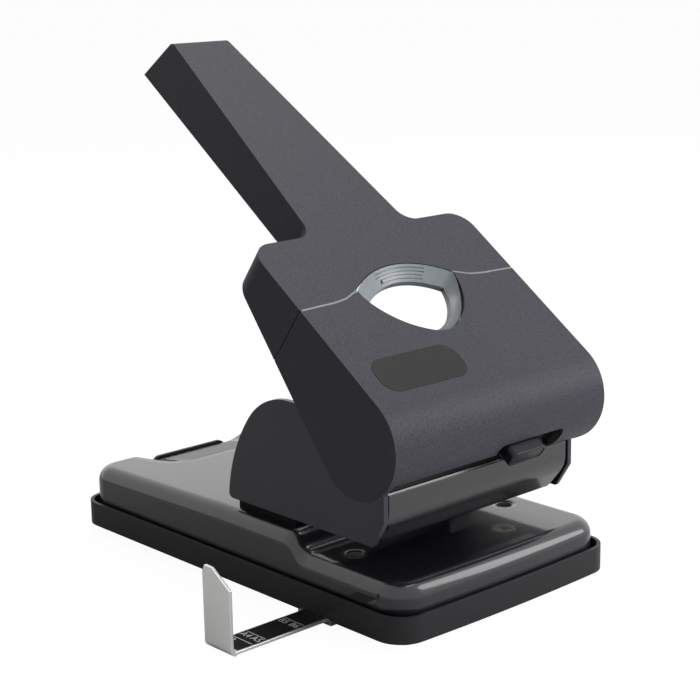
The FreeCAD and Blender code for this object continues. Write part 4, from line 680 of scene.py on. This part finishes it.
def make_pan():
    bm = pan_skin()
    bmesh.ops.solidify(bm, geom=bm.faces[:], thickness=PAN_SHEET)
    face_outwards(bm)
    bend = [(HOLE_RADIUS + (DISH_RADIUS - HOLE_RADIUS) * share, DISH_DEPTH * (0.03 - (1 - share) ** 3))
            for share in (0, 0.06, 0.14, 0.24, 0.36, 0.5, 0.65, 0.8, 1.0)]
    profile = [(0, -3), (HOLE_RADIUS, -3)] + bend + [(DISH_RADIUS, 2), (0, 2)]
    bm = cut(bm, *(turned(profile, (x, y, TABLE_TOP), 48) for x, y in HOLE_PLACES))
    dress(new_piece("enamelled_pan", bm), "punch_unit", "pan", ["base_pan"], smooth_angle=40)


make_pan()

# %% [markdown]
# ## Die rims
# In each punch hole the hardened die under the table shows its ground edge, the only bright metal on
# the black table. It is a short turned ring, seated just below the table so that paper slides over it.

# %% Make the die rims
RIM_IN = 3.04
RIM_OUT = HOLE_RADIUS - 0.03
RIM_EDGE = 0.06
RIM_LOW = -1.15
RIM_HIGH = -0.42


def make_die_rims():
    profile = [(RIM_IN, RIM_LOW), (RIM_IN, RIM_HIGH - RIM_EDGE), (RIM_IN + RIM_EDGE, RIM_HIGH),
               (RIM_OUT, RIM_HIGH), (RIM_OUT, RIM_LOW), (RIM_IN, RIM_LOW)]
    rims = joined([turned(profile, (x, y, TABLE_TOP), 48) for x, y in HOLE_PLACES])
    dress(new_piece("die_rims", rims), "punch_unit", "steel")


make_die_rims()

# %% [markdown]
# ## Cheeks
# The two side plates of the frame are cut from 2.2 mm steel sheet: straight and chamfered in front,
# round at the rear in two radii, with a foot flange that is bent inwards under them. An outline face
# with arcs, pulled out by the sheet's thickness, gives the plate, and the flange is added to it.

# %% Cheek sizes
SHEET = 2.2
CHEEK_OUTER = 50.0
CHEEK_INNER = CHEEK_OUTER - SHEET
CHEEK_LOW = 33.4
CHEEK_FRONT = -25.9
CHEEK_FOOT = -19.7
KNEE = 43.2
PIVOT_Y, PIVOT_Z = PIVOT.y / MM, PIVOT.z / MM
CROWN = 14.5
ROUND_Y, ROUND_Z, ROUND_RADIUS = 24.7, 49.7, 28.7
REAR_RADIUS = 63.3
REAR_TURN = 38.5
FLANGE = (27.0, 56.0, 14.0)
SHAFT_RADIUS = 4.0


def cheek_points():
    """Side outline of a cheek, from the foot's front corner up, over the crown and down the rear."""
    top = ROUND_Z + ROUND_RADIUS
    ahead = CHEEK_FRONT - PIVOT_Y
    crown_start = math.degrees(math.atan2(math.sqrt(CROWN ** 2 - ahead ** 2), ahead))
    crown_end = math.degrees(math.asin((top - PIVOT_Z) / CROWN))
    turn = math.radians(REAR_TURN)
    further = REAR_RADIUS - ROUND_RADIUS
    rear_centre = (ROUND_Y - further * math.cos(turn), ROUND_Z - further * math.sin(turn))
    rear_end = math.degrees(math.asin((CHEEK_LOW - rear_centre[1]) / REAR_RADIUS))
    points = [(CHEEK_FOOT, CHEEK_LOW), (CHEEK_FRONT, KNEE)]
    points += arc_points((PIVOT_Y, PIVOT_Z), CROWN, crown_start, crown_end, 16)
    points += arc_points((ROUND_Y, ROUND_Z), ROUND_RADIUS, 90, REAR_TURN, 16)
    points += arc_points(rear_centre, REAR_RADIUS, REAR_TURN, rear_end, 16)[1:]
    return points


# %% Make the cheeks
def make_cheek(name, node, side):
    points = cheek_points()
    radii = [0] * (len(points) - 1) + [SHEET]
    plate = solid_from(points, (side * SHEET, 0, 0), lambda y, z: (side * CHEEK_INNER, y, z), radii, 5)
    front, rear, reach = FLANGE
    flange = sorted((side * (CHEEK_OUTER - reach), side * (CHEEK_OUTER - SHEET / 2)))
    foot = block((flange[0], front, CHEEK_LOW), (flange[1], rear, CHEEK_LOW + SHEET))
    shaft = rod(SHAFT_RADIUS, (side * 40, PIVOT_Y, PIVOT_Z), (side * 60, PIVOT_Y, PIVOT_Z))
    cheek = new_piece(name, cut(combined(plate, foot, "UNION"), shaft))
    soften(cheek, 0.4)
    dress(cheek, "punch_unit", "cheek", [node])


make_cheek("cheek_plate_left", "left_cheek", -1)
make_cheek("cheek_plate_right", "right_cheek", 1)

# %% [markdown]
# ## Front plate
# One bent sheet closes the frame in front. Its side outline already has the two bends as rounded
# corners, inner ones tighter than outer ones by the sheet's thickness, and it is pulled out to the full
# width. Two boxes cut it down beside the neck that carries the lock's catch, two wedges slant its lower
# corners, and the catch itself is a small block on the neck.

# %% Make the front plate
PLATE = 2.0
PLATE_FRONT = CHEEK_FRONT + 0.4
PLATE_FOOT = CHEEK_FOOT + 0.4
PLATE_HALF = CHEEK_INNER - 0.8
PLATE_TOP = 75.0
PLATE_SHOULDER = 53.0
PLATE_CORNER = 4.3
PLATE_LOW = 33.6
PLATE_REAR = -11.0
BEND = 2.6
CATCH = (18.5, 33.0, 4.0)


def make_front_plate():
    lean = math.atan2(PLATE_FOOT - PLATE_FRONT, KNEE - CHEEK_LOW)
    foot_y = PLATE_FRONT + (KNEE - PLATE_LOW) * math.tan(lean)
    inner_top = PLATE_LOW + PLATE
    inner_foot = PLATE_FRONT + (KNEE - inner_top) * math.tan(lean) + PLATE / math.cos(lean)
    points = [(PLATE_FRONT, PLATE_TOP), (PLATE_FRONT, KNEE), (foot_y, PLATE_LOW), (PLATE_REAR, PLATE_LOW),
              (PLATE_REAR, inner_top), (inner_foot, inner_top),
              (PLATE_FRONT + PLATE, KNEE + PLATE * math.tan(lean / 2)), (PLATE_FRONT + PLATE, PLATE_TOP)]
    radii = [0, 3 * (BEND + PLATE), BEND, 0, 0, BEND - 1.5, 3 * BEND, 0]
    plate = solid_from(points, (2 * PLATE_HALF, 0, 0), lambda y, z: (-PLATE_HALF, y, z), radii, 6)
    left, right_end, out = CATCH
    for start, end in ((-PLATE_HALF - 1, left), (right_end, PLATE_HALF + 1)):
        plate = cut(plate, block((start, -40, PLATE_SHOULDER), (end, 0, PLATE_TOP + 1)))
    for side in (-1, 1):
        beyond, below = side * (PLATE_HALF + 2), PLATE_LOW - 1
        wedge = [(beyond, KNEE), (side * PLATE_HALF, KNEE), (side * (PLATE_HALF - PLATE_CORNER), below),
                 (beyond, below)]
        plate = cut(plate, solid_from(wedge, (0, 40, 0), lambda x, z: (x, -40, z)))
    catch = block((left, PLATE_FRONT - out, PLATE_TOP - PLATE),
                  (right_end, PLATE_FRONT + PLATE / 2, PLATE_TOP))
    piece = new_piece("front_cover", combined(plate, catch, "UNION"))
    soften(piece, 0.3)
    dress(piece, "punch_unit", "plate", ["front_plate"])


make_front_plate()

# %% [markdown]
# ## The handle's outer form
# Head and lever are one flowing form, moulded in two halves. It is drawn in the lever's own frame:
# x runs across, s along the lever from the axle, n upwards. Seen from the side it is a round nose, a
# straight falling top and a rising underside; seen from above it is a wide head with a flared neck and
# a tapering lever. What both outlines share is the handle, so the two prisms are intersected, and only
# then are its edges rounded, first the upright corners of the tip and then the long edge all round.

# %% Handle sizes and outlines
HEAD_ROUND = 19.8
HEAD_HALF = 55.0
HEAD_REAR = 82.0
HEAD_CORNER = 9.0
UNDER_SLOPE = math.radians(16.6)
NECK_AT = 90.0
NECK_HALF = 23.7
NECK_ROUND = 7.0
TIP_AT = 208.3
TIP_HALF = 13.2
TIP_SLANT = 9.1
TIP_TOP = 16.8
TIP_ROUND = 3.0
LEVER_LOW = 2.1
TIP_LOW = 7.2
WALL = 2.5
EDGE_ROUND = 1.3


def top_at(s):
    """Height of the handle's straight top above the axle."""
    return HEAD_ROUND - (HEAD_ROUND - TIP_TOP) * max(s, 0) / (TIP_AT - TIP_SLANT)


def lever_under(s):
    """Height of the lever's underside above the axle."""
    return LEVER_LOW - (LEVER_LOW + TIP_LOW) * (s - NECK_AT) / (TIP_AT - NECK_AT)


def lever_half(s):
    """Half width of the tapering lever."""
    return NECK_HALF - (NECK_HALF - TIP_HALF) * (s - NECK_AT) / (TIP_AT - NECK_AT)


def side_points():
    """Side outline of the handle as (s, n) points; the tip's upper corner is the last point but three."""
    tangent = math.degrees(UNDER_SLOPE) - 90
    nose = arc_points((0, 0), HEAD_ROUND, tangent, -270, 60)
    start = nose[0]
    under_rear = start[1] + (HEAD_REAR - start[0]) * math.tan(UNDER_SLOPE)
    return nose + [(TIP_AT - TIP_SLANT, TIP_TOP), (TIP_AT, lever_under(TIP_AT)),
                   (HEAD_REAR, lever_under(HEAD_REAR)), (HEAD_REAR, under_rear)]


def plan_points(inset):
    """Plan of head and lever as (x, s) points and the rounding of each corner, drawn in by an inset."""
    half = HEAD_HALF - inset
    rear = HEAD_REAR - inset
    tip = TIP_AT + 5
    neck = lever_half(rear) - inset
    corner = HEAD_CORNER - inset
    flare = NECK_ROUND + inset
    end = lever_half(tip) - inset
    right_side = [(half, -40, 0), (half, rear, corner), (neck, rear, flare), (end, tip, 0)]
    left_side = [(-x, s, radius) for x, s, radius in reversed(right_side)]
    outline = right_side + left_side
    return [(x, s) for x, s, radius in outline], [radius for x, s, radius in outline]


# %% Helpers for the handle's solids and edges
def side_prism(points, radii=None):
    """A side outline of (s, n) points, pulled out wider than the handle."""
    return solid_from(points, (140, 0, 0), lambda s, n: (-70, s, n), radii, 5)


def tower(points, radii=None, half=60):
    """A plan of (x, s) points, pulled up from below the handle to above it."""
    return solid_from(points, (0, 0, 2 * half), lambda x, s: (x, s, -half), radii, 10)


def face_angle(edge):
    return math.degrees(edge.calc_face_angle(0.0))


def round_edges(bm, wanted, radius, segments=4):
    """Bevel the edges that the test wants."""
    edges = [edge for edge in bm.edges if len(edge.link_faces) == 2 and wanted(edge)]
    made = bmesh.ops.bevel(bm, geom=edges, offset=radius, offset_type="OFFSET", affect="EDGES",
                           segments=segments, profile=0.5, material=-1, clamp_overlap=True)
    print("  rounded", len(edges), "edges into", len(made["faces"]), "faces")


def middle(edge):
    return (edge.verts[0].co + edge.verts[1].co) / 2


# %% Make the outer form
def outer_form():
    points = side_points()
    radii = [0] * len(points)
    radii[-4] = TIP_ROUND
    bm = combined(side_prism(points, radii), tower(*plan_points(0)), "INTERSECT")

    def tip_corner(edge):
        ends = sorted(vert.co.z for vert in edge.verts)
        return middle(edge).y > TIP_AT - TIP_SLANT - 1 and face_angle(edge) > 50 and ends[1] - ends[0] > 5

    def long_edge(edge):
        point = middle(edge)
        below = any(face.normal.z < -0.3 and point.y > 6 for face in edge.link_faces)
        step = abs(point.y - HEAD_REAR) < 0.01 and point.z < HEAD_ROUND / 2
        run = edge.verts[0].co - edge.verts[1].co
        upright_edge = abs(run.z) > 1 and abs(run.y) < 0.3
        return face_angle(edge) > 50 and not below and not step and not upright_edge

    round_edges(bm, tip_corner, TIP_ROUND, 6)
    round_edges(bm, long_edge, EDGE_ROUND, 4)
    return bm


outer = outer_form()
print("outer form:", len(outer.faces), "faces")

# %% [markdown]
# ## Hollowing the handle
# The mouldings are shells 2.5 mm thick, open below. The hollow is made like the outer form, from the
# same two outlines drawn in by the wall, and taken away. Then come the finger hole, the slot of the
# lock button and at last the seam, which splits the shell into the front and the rear moulding.

# %% Finger hole, slot and seam
SEAM = 48.2
SEAM_GAP = 0.35
HOLE_CORNER = (25.2, 52.0)
HOLE_REAR = 61.3
HOLE_SIDE = (18.6, 37.0)
HOLE_NOSE = (6.5, 27.4)
HOLE_FRONT = 25.7
SLOT_LEFT = -1.0
SLOT_RIGHT = 34.5
SLOT_HIGH = HEAD_ROUND * math.sin(math.radians(11.6))
SLOT_ROUND = 3.2
LIP_DROP = 6.6


def arc_through(a, b, c, steps):
    """Points on the arc from a over b to c, with both ends."""
    (ax, ay), (bx, by), (cx, cy) = a, b, c
    far_a, far_b, far_c = (x * x + y * y for x, y in (a, b, c))
    four_areas = 2 * (ax * (by - cy) + bx * (cy - ay) + cx * (ay - by))
    ux = (far_a * (by - cy) + far_b * (cy - ay) + far_c * (ay - by)) / four_areas
    uy = (far_a * (cx - bx) + far_b * (ax - cx) + far_c * (bx - ax)) / four_areas
    start, over, end = (math.atan2(y - uy, x - ux) for x, y in (a, b, c))
    sweep = (end - start) % (2 * math.pi)
    if (over - start) % (2 * math.pi) > sweep:
        sweep -= 2 * math.pi
    radius = math.hypot(ax - ux, ay - uy)
    angles = [start + sweep * k / steps for k in range(steps + 1)]
    return [(ux + radius * math.cos(angle), uy + radius * math.sin(angle)) for angle in angles]


def hole_points(inset):
    """The finger hole's outline, a three-sided round form, drawn in by an inset."""
    corner = (HOLE_CORNER[0] - 1.2 * inset, HOLE_CORNER[1] - 0.55 * inset)
    side = (HOLE_SIDE[0] - 0.83 * inset, HOLE_SIDE[1] + 0.55 * inset)
    nose = (HOLE_NOSE[0] - 0.5 * inset, HOLE_NOSE[1] + 0.85 * inset)

    def flip(point):
        return (-point[0], point[1])

    rear = arc_through(flip(corner), (0, HOLE_REAR - inset), corner, 32)
    right_wall = arc_through(corner, side, nose, 16)
    front = arc_through(nose, (0, HOLE_FRONT + inset), flip(nose), 12)
    left_wall = arc_through(flip(nose), flip(side), flip(corner), 16)
    return rear[:-1] + right_wall[:-1] + front[:-1] + left_wall[:-1]


def seam_points(rear_side):
    """Everything before or behind the seam, which bends back to the finger hole's corners."""
    gap = SEAM_GAP / 2 * (1 if rear_side else -1)
    seam = SEAM + gap
    corner = HOLE_CORNER[1] + gap
    near = HOLE_CORNER[0] - 1
    end = 300 if rear_side else -100
    bend = [(-70, seam), (-near - 14, seam + 0.3), (-near - 8, seam + 1.1), (-near, corner),
            (near, corner), (near + 8, seam + 1.1), (near + 14, seam + 0.3), (70, seam)]
    return bend + [(70, end), (-70, end)]


# %% Make the hollow and cut the openings
def kept_lip():
    """Beyond the slot's right end the front wall goes on down round the nose; the hollow leaves it."""
    inner = HEAD_ROUND - WALL
    low = math.degrees(math.asin(LIP_DROP / inner))
    points = arc_points((0, 0), inner, 180 + low, 180, 8) + arc_points((0, 0), inner, 176.25, 172.5, 1)
    points += [(-30, points[-1][1]), (-30, -LIP_DROP)]
    return solid_from(points, (HEAD_HALF - SLOT_RIGHT, 0, 0), lambda s, n: (SLOT_RIGHT, s, n))


def hollow_form():
    inner = HEAD_ROUND - WALL
    end = TIP_AT - TIP_SLANT - WALL
    nose = arc_points((0, 0), inner, 180, 90, 24)
    deep = -60
    points = nose + [(end, top_at(end) - WALL), (end + 3, deep), (deep, deep), (deep, 0)]
    room = combined(side_prism(points), tower(*plan_points(WALL), half=65), "INTERSECT")
    return cut(room, kept_lip())


def button_slot():
    """A notch in the nose's lower lip, with round upper corners."""
    return solid_from(rectangle(SLOT_LEFT, SLOT_RIGHT, -12, SLOT_HIGH), (0, 10, 0),
                      lambda x, n: (x, -HEAD_ROUND - 3, n), [0, 0, SLOT_ROUND, SLOT_ROUND])


shell = cut(outer, hollow_form(), tower(hole_points(0), half=40), button_slot())
print("shell:", len(shell.faces), "faces, open edges", sum(edge.is_boundary for edge in shell.edges))

# %% Split at the seam, round the lips and finish both mouldings
def lip_edge(edge):
    """Upper edges along the seam, the finger hole and the slot."""
    point = middle(edge)
    on_top = abs(point.z - top_at(point.y)) < 0.03 and 20 < point.y < 64 and abs(point.x) < HEAD_HALF - 2
    on_nose = abs(math.hypot(point.y, point.z) - HEAD_ROUND) < 0.03 and -HEAD_ROUND - 0.1 < point.y < -18
    at_slot = SLOT_LEFT - 0.1 < point.x < SLOT_RIGHT + 0.1 and point.z < SLOT_HIGH + 0.1
    return face_angle(edge) > 40 and (on_top or on_nose and at_slot)


def make_moulding(name, node, source, rear_side):
    part = combined(source, tower(seam_points(rear_side)), "INTERSECT")
    round_edges(part, lip_edge, 0.35, 2)
    dress(new_piece(name, part, LEVER), "lever", "moulding", [node], smooth_angle=40)


make_moulding("head_shell", "head_moulding", shell.copy(), False)
make_moulding("lever_shell", "handle_moulding", shell, True)

# %% [markdown]
# ## Surround of the finger hole
# A glossy insert lines the finger hole and leads the finger down: its wall slopes inwards, and fine
# grooves outline two curved bars at its rear. It is a stack of closed loops of the same outline, each
# a little further in and down, bridged one to the next. Each groove is cut with a curved bar out of
# which a narrower one has been taken.

# %% Make the surround
SLOPE_DEEP = 4.0
SLOPE_FLARE = math.radians(49.6)
SLOPE_SKEW = 1.0
SKIRT_DEEP = 6.2
FRONT_RECESS = 1.6
# Left end, right end and depth of each outlined bar
GROOVES = [(-11.5, 15.0, 1.35), (-8.8, 13.8, 2.95)]
GROOVE_WIDE = 1.75
GROOVE_LINE = 0.3
GROOVE_DEEP = 0.6


def recess(s):
    """The ring is flush with the head at the rear and lies lower at the front."""
    return FRONT_RECESS * (1 - smooth_share(s, 38, 52))


def slope_point(x, s, depth):
    """A point of the outline moved down: forward with the slope, and level with the top at the rear."""
    share = min(depth / SLOPE_DEEP, 1.0)
    return (x, s - SLOPE_SKEW * share, top_at(s) - depth - recess(s) * (1 - share))


def wall_inset(depth):
    """How far the sloping wall has come in at a depth below the rim."""
    return 0.75 + (min(depth, SLOPE_DEEP) - 0.6) * math.tan(SLOPE_FLARE)


def add_loop(bm, inset, depth):
    """A closed loop of the hole's outline."""
    verts = [bm.verts.new(slope_point(x, s, depth)) for x, s in hole_points(inset)]
    return [bm.edges.new((a, b)) for a, b in zip(verts, verts[1:] + verts[:1])]


def bridge(bm, loops):
    """Faces between each closed loop of edges and the next."""
    for first, second in zip(loops, loops[1:]):
        bmesh.ops.bridge_loops(bm, edges=first + second)


def groove_tool(x_from, x_to, depth, wide):
    """A curved bar that sinks into the rear of the sloping wall at a depth."""
    along = Vector((0, -math.sin(SLOPE_FLARE), -math.cos(SLOPE_FLARE)))
    out = Vector((0, -math.cos(SLOPE_FLARE), math.sin(SLOPE_FLARE)))
    rear = [(x, s) for x, s in hole_points(wall_inset(depth)) if s > 48 and x_from < x < x_to]
    corners = [(-wide / 2, 1.0), (wide / 2, 1.0), (wide / 2, -GROOVE_DEEP), (-wide / 2, -GROOVE_DEEP)]
    bm = bmesh.new()
    sections = []
    for x, s in rear:
        centre = Vector(slope_point(x, s, depth))
        verts = [bm.verts.new(centre + along * a + out * b) for a, b in corners]
        sections.append([bm.edges.new(pair) for pair in zip(verts, verts[1:] + verts[:1])])
    bridge(bm, sections)
    bmesh.ops.holes_fill(bm, edges=sections[0] + sections[-1])
    face_outwards(bm)
    return bm


def make_surround():
    bm = bmesh.new()
    slope_end = wall_inset(SLOPE_DEEP)
    # Up the skirt, over the round rim, down the slope and down the skirt's inner side
    stack = [(0.25, SKIRT_DEEP), (0.25, 0.35), (0.35, 0.12), (0.55, 0.05), (0.75, 0.25)]
    stack += [(wall_inset(depth), depth) for depth in (1.5, 3, SLOPE_DEEP)]
    stack += [(slope_end + 0.2, SLOPE_DEEP + 0.2), (slope_end + 0.2, SKIRT_DEEP)]
    loops = [add_loop(bm, inset, depth) for inset, depth in stack]
    bridge(bm, loops + loops[:1])
    face_outwards(bm)
    for x_from, x_to, depth in GROOVES:
        inside = GROOVE_LINE * 2
        bar = groove_tool(x_from + inside, x_to - inside, depth, GROOVE_WIDE - inside)
        bm = cut(bm, cut(groove_tool(x_from, x_to, depth, GROOVE_WIDE), bar))
    piece = new_piece("finger_hole_surround", bm, LEVER)
    soften(piece, 0.18, 2, 50)
    dress(piece, "lever", "surround", ["hole_surround"], smooth_angle=45)


make_surround()

# %% [markdown]
# ## Seam highlight
# Along the seam a thin glossy strip in the insert's pale finish shows between the two mouldings: its pale
# colour is painted highlight for the light that the seam's edge catches. It follows the seam's bend,
# flush with the surface, and its own gloss catches the light as a fine line as well.

# %% Make the painted seam highlight
HIGHLIGHT_HALF_WIDE = 0.42
HIGHLIGHT_PROUD = 0.05


def make_painted_seam_highlight():
    bm = bmesh.new()
    for side in (-1, 1):
        bend = [(x, s) for x, s in seam_points(True) if 0 < side * x < 60]
        path = sorted(bend, key=lambda point: abs(point[0]))
        path[0] = (side * (HOLE_CORNER[0] - 0.2), path[0][1])
        path.append((side * (HEAD_HALF - 0.6), SEAM))
        rails = []
        for shift in (-HIGHLIGHT_HALF_WIDE, HIGHLIGHT_HALF_WIDE):
            rails.append([bm.verts.new((x, s + shift, top_at(s) + HIGHLIGHT_PROUD)) for x, s in path])
        for k in range(len(path) - 1):
            bm.faces.new((rails[0][k], rails[0][k + 1], rails[1][k + 1], rails[1][k]))
    face_outwards(bm)
    bmesh.ops.solidify(bm, geom=bm.faces[:], thickness=0.5)
    face_outwards(bm)
    piece = new_piece("painted_seam_highlight", bm, LEVER)
    soften(piece, 0.12, 2, 40)
    # The pale surround finish on this strip is painted highlight along the seam
    dress(piece, "lever", "surround")


make_painted_seam_highlight()

# %% [markdown]
# ## Lock button
# The button is a pill-shaped bar that slides in the slot. Its front face is set back a little inside a
# raised border, which catches the light as a thin outline.

# %% Make the lock button
BUTTON_LEFT = 2.6
BUTTON_WIDE = 18.8
BUTTON_HALF_HIGH = 3.3
BUTTON_ROUND = 2.6
BUTTON_FRONT = -HEAD_ROUND - 4.25
BUTTON_REAR = -16.0


def make_button():
    outline = rectangle(BUTTON_LEFT, BUTTON_LEFT + BUTTON_WIDE, -BUTTON_HALF_HIGH, BUTTON_HALF_HIGH)
    bm = solid_from(outline, (0, BUTTON_FRONT - BUTTON_REAR, 0), lambda x, n: (x, BUTTON_REAR, n),
                    [BUTTON_ROUND] * 4)
    round_edges(bm, lambda edge: all(abs(vert.co.y - BUTTON_FRONT) < NEAR for vert in edge.verts), 0.5, 3)
    face = min(bm.faces, key=lambda item: item.calc_center_median().y)
    bmesh.ops.inset_region(bm, faces=[face], thickness=0.35, use_even_offset=True)
    bmesh.ops.inset_region(bm, faces=[face], thickness=0.25, depth=-0.3, use_even_offset=True)
    dress(new_piece("button_cap", bm, LEVER), "lock", "button", ["lock_button"], smooth_angle=40)


make_button()

# %% [markdown]
# ## Sticker place
# On the head sits a plain dark sticker with round corners, left blank. It is only a tenth of a
# millimetre thick, and its smooth matt face breaks the grain of the plastic around it.

# %% Make the blank sticker
STICKER = (-46.0, -4.5, 4.2, 20.0)
STICKER_ROUND = 6.5
STICKER_THICK = 0.1


def make_sticker():
    bm = solid_from(rectangle(*STICKER), (0, 0, STICKER_THICK), lambda x, s: (x, s, top_at(s) + 0.02),
                    [STICKER_ROUND] * 4, 10)
    dress(new_piece("blank_sticker", bm, LEVER), "lever", "sticker")


make_sticker()

# %% [markdown]
# ## Paper guide
# The guide is a plated steel strip that slides under the tray, with an upright stop bent from the same
# sheet. A black scale lies on the strip. Its plain numbers are text objects, which are turned into
# meshes before they are put in place, and the fine lines beside them are thin blocks.

# %% Guide sizes
STOP_OUT = -100.0
STRIP_LOW = 1.3
STRIP_REAR = 12.4
STRIP_WIDE = 13.0
STRIP_FRONT = STRIP_REAR - STRIP_WIDE
STRIP_MIDDLE = STRIP_REAR - STRIP_WIDE / 2
STRIP_THICK = 1.2
STRIP_LONG = 112.0
STOP_WIDE = 15.0
STOP_HIGH = 32.0
STOP_CUT = (9.5, 6.2)
GUIDE_BEND = 2.4


def make_guide():
    strip_end = STOP_OUT + STRIP_LONG
    strip_top = STRIP_LOW + STRIP_THICK
    stop_in = STOP_OUT + STRIP_THICK
    section = [(STOP_OUT, STOP_HIGH), (STOP_OUT, STRIP_LOW), (strip_end, STRIP_LOW), (strip_end, strip_top),
               (stop_in, strip_top), (stop_in, STOP_HIGH)]
    radii = [0, GUIDE_BEND, 0, 0, GUIDE_BEND - STRIP_THICK, 0]
    front = STRIP_MIDDLE - STOP_WIDE / 2
    rear = front + STOP_WIDE
    bm = solid_from(section, (0, STOP_WIDE, 0), lambda x, z: (x, front, z), radii, 6)
    for low_y, high_y in ((front - 1, STRIP_FRONT), (STRIP_REAR, rear + 1)):
        bm = cut(bm, block((STOP_OUT + GUIDE_BEND, low_y, -1), (strip_end + 1, high_y, STRIP_LOW + 3)))
    cut_back, cut_down = STOP_CUT
    front_corner = [(front - 1, STOP_HIGH - cut_down - cut_down / cut_back), (front + cut_back, STOP_HIGH),
                    (front + cut_back, STOP_HIGH + 3), (front - 1, STOP_HIGH + 3)]
    rear_corner = [(rear - STRIP_THICK, STOP_HIGH), (rear + 1, STOP_HIGH + 1),
                   (rear, STOP_HIGH - 2 * STRIP_THICK)]
    for corner in (front_corner, rear_corner):
        bm = cut(bm, solid_from(corner, (5, 0, 0), lambda y, z: (STOP_OUT - 2, y, z)))
    piece = new_piece("guide_strip", bm)
    soften(piece, 0.25)
    dress(piece, "paper_guide", "guide", ["paper_guide"])


make_guide()

# %% Scale on the strip
SCALE_TOP = STRIP_LOW + STRIP_THICK + 0.06
SCALE_THICK = 0.08
SCALE_START = STOP_OUT + 4.0
SCALE_END = STOP_OUT + STRIP_LONG - 4.0
SCALE_MARGIN = 0.7
LETTER_SIZE = 4.2
LETTER_ROW = 2.9
MARKS = [(-89.0, "3", ""), (-82.8, "A4", "A5"), (-65.2, "B5", "B6"), (-51.5, "A3", "12")]


def make_scale():
    plate = block((SCALE_START, STRIP_FRONT + SCALE_MARGIN, SCALE_TOP - SCALE_THICK),
                  (SCALE_END, STRIP_REAR - SCALE_MARGIN, SCALE_TOP))
    dress(new_piece("scale_plate", plate), "paper_guide", "scale")


def text_mesh(words, place):
    """Flat letters as a bmesh, laid at place so that they are read from the left."""
    curve = bpy.data.curves.new("letters", "FONT")
    curve.body = words
    curve.size = LETTER_SIZE
    curve.align_x = "CENTER"
    curve.align_y = "CENTER"
    curve.extrude = 0.015
    holder = bpy.data.objects.new("letters", curve)
    bpy.context.scene.collection.objects.link(holder)
    depsgraph = bpy.context.evaluated_depsgraph_get()
    mesh = bpy.data.meshes.new_from_object(holder.evaluated_get(depsgraph))
    bm = bmesh.new()
    bm.from_mesh(mesh)
    quarter_turn = Matrix.Rotation(-math.pi / 2, 4, "Z")
    bmesh.ops.transform(bm, matrix=Matrix.Translation(place) @ quarter_turn, verts=bm.verts)
    bpy.data.objects.remove(holder)
    bpy.data.curves.remove(curve)
    bpy.data.meshes.remove(mesh)
    return bm


def make_scale_marks():
    """Plain sheet sizes beside four fine lines."""
    above = SCALE_TOP + 0.02
    parts = []
    for x, first, second in MARKS:
        for words, y in ((first, STRIP_MIDDLE + LETTER_ROW), (second, STRIP_MIDDLE - LETTER_ROW)):
            if words:
                parts.append(text_mesh(words, (x - 2.4, y, above)))
        parts.append(block((x - 0.15, STRIP_FRONT + 1.2, SCALE_TOP), (x + 0.2, STRIP_REAR - 1.5, above)))
    dress(new_piece("scale_marks", joined(parts)), "paper_guide", "print")


make_scale()
make_scale_marks()
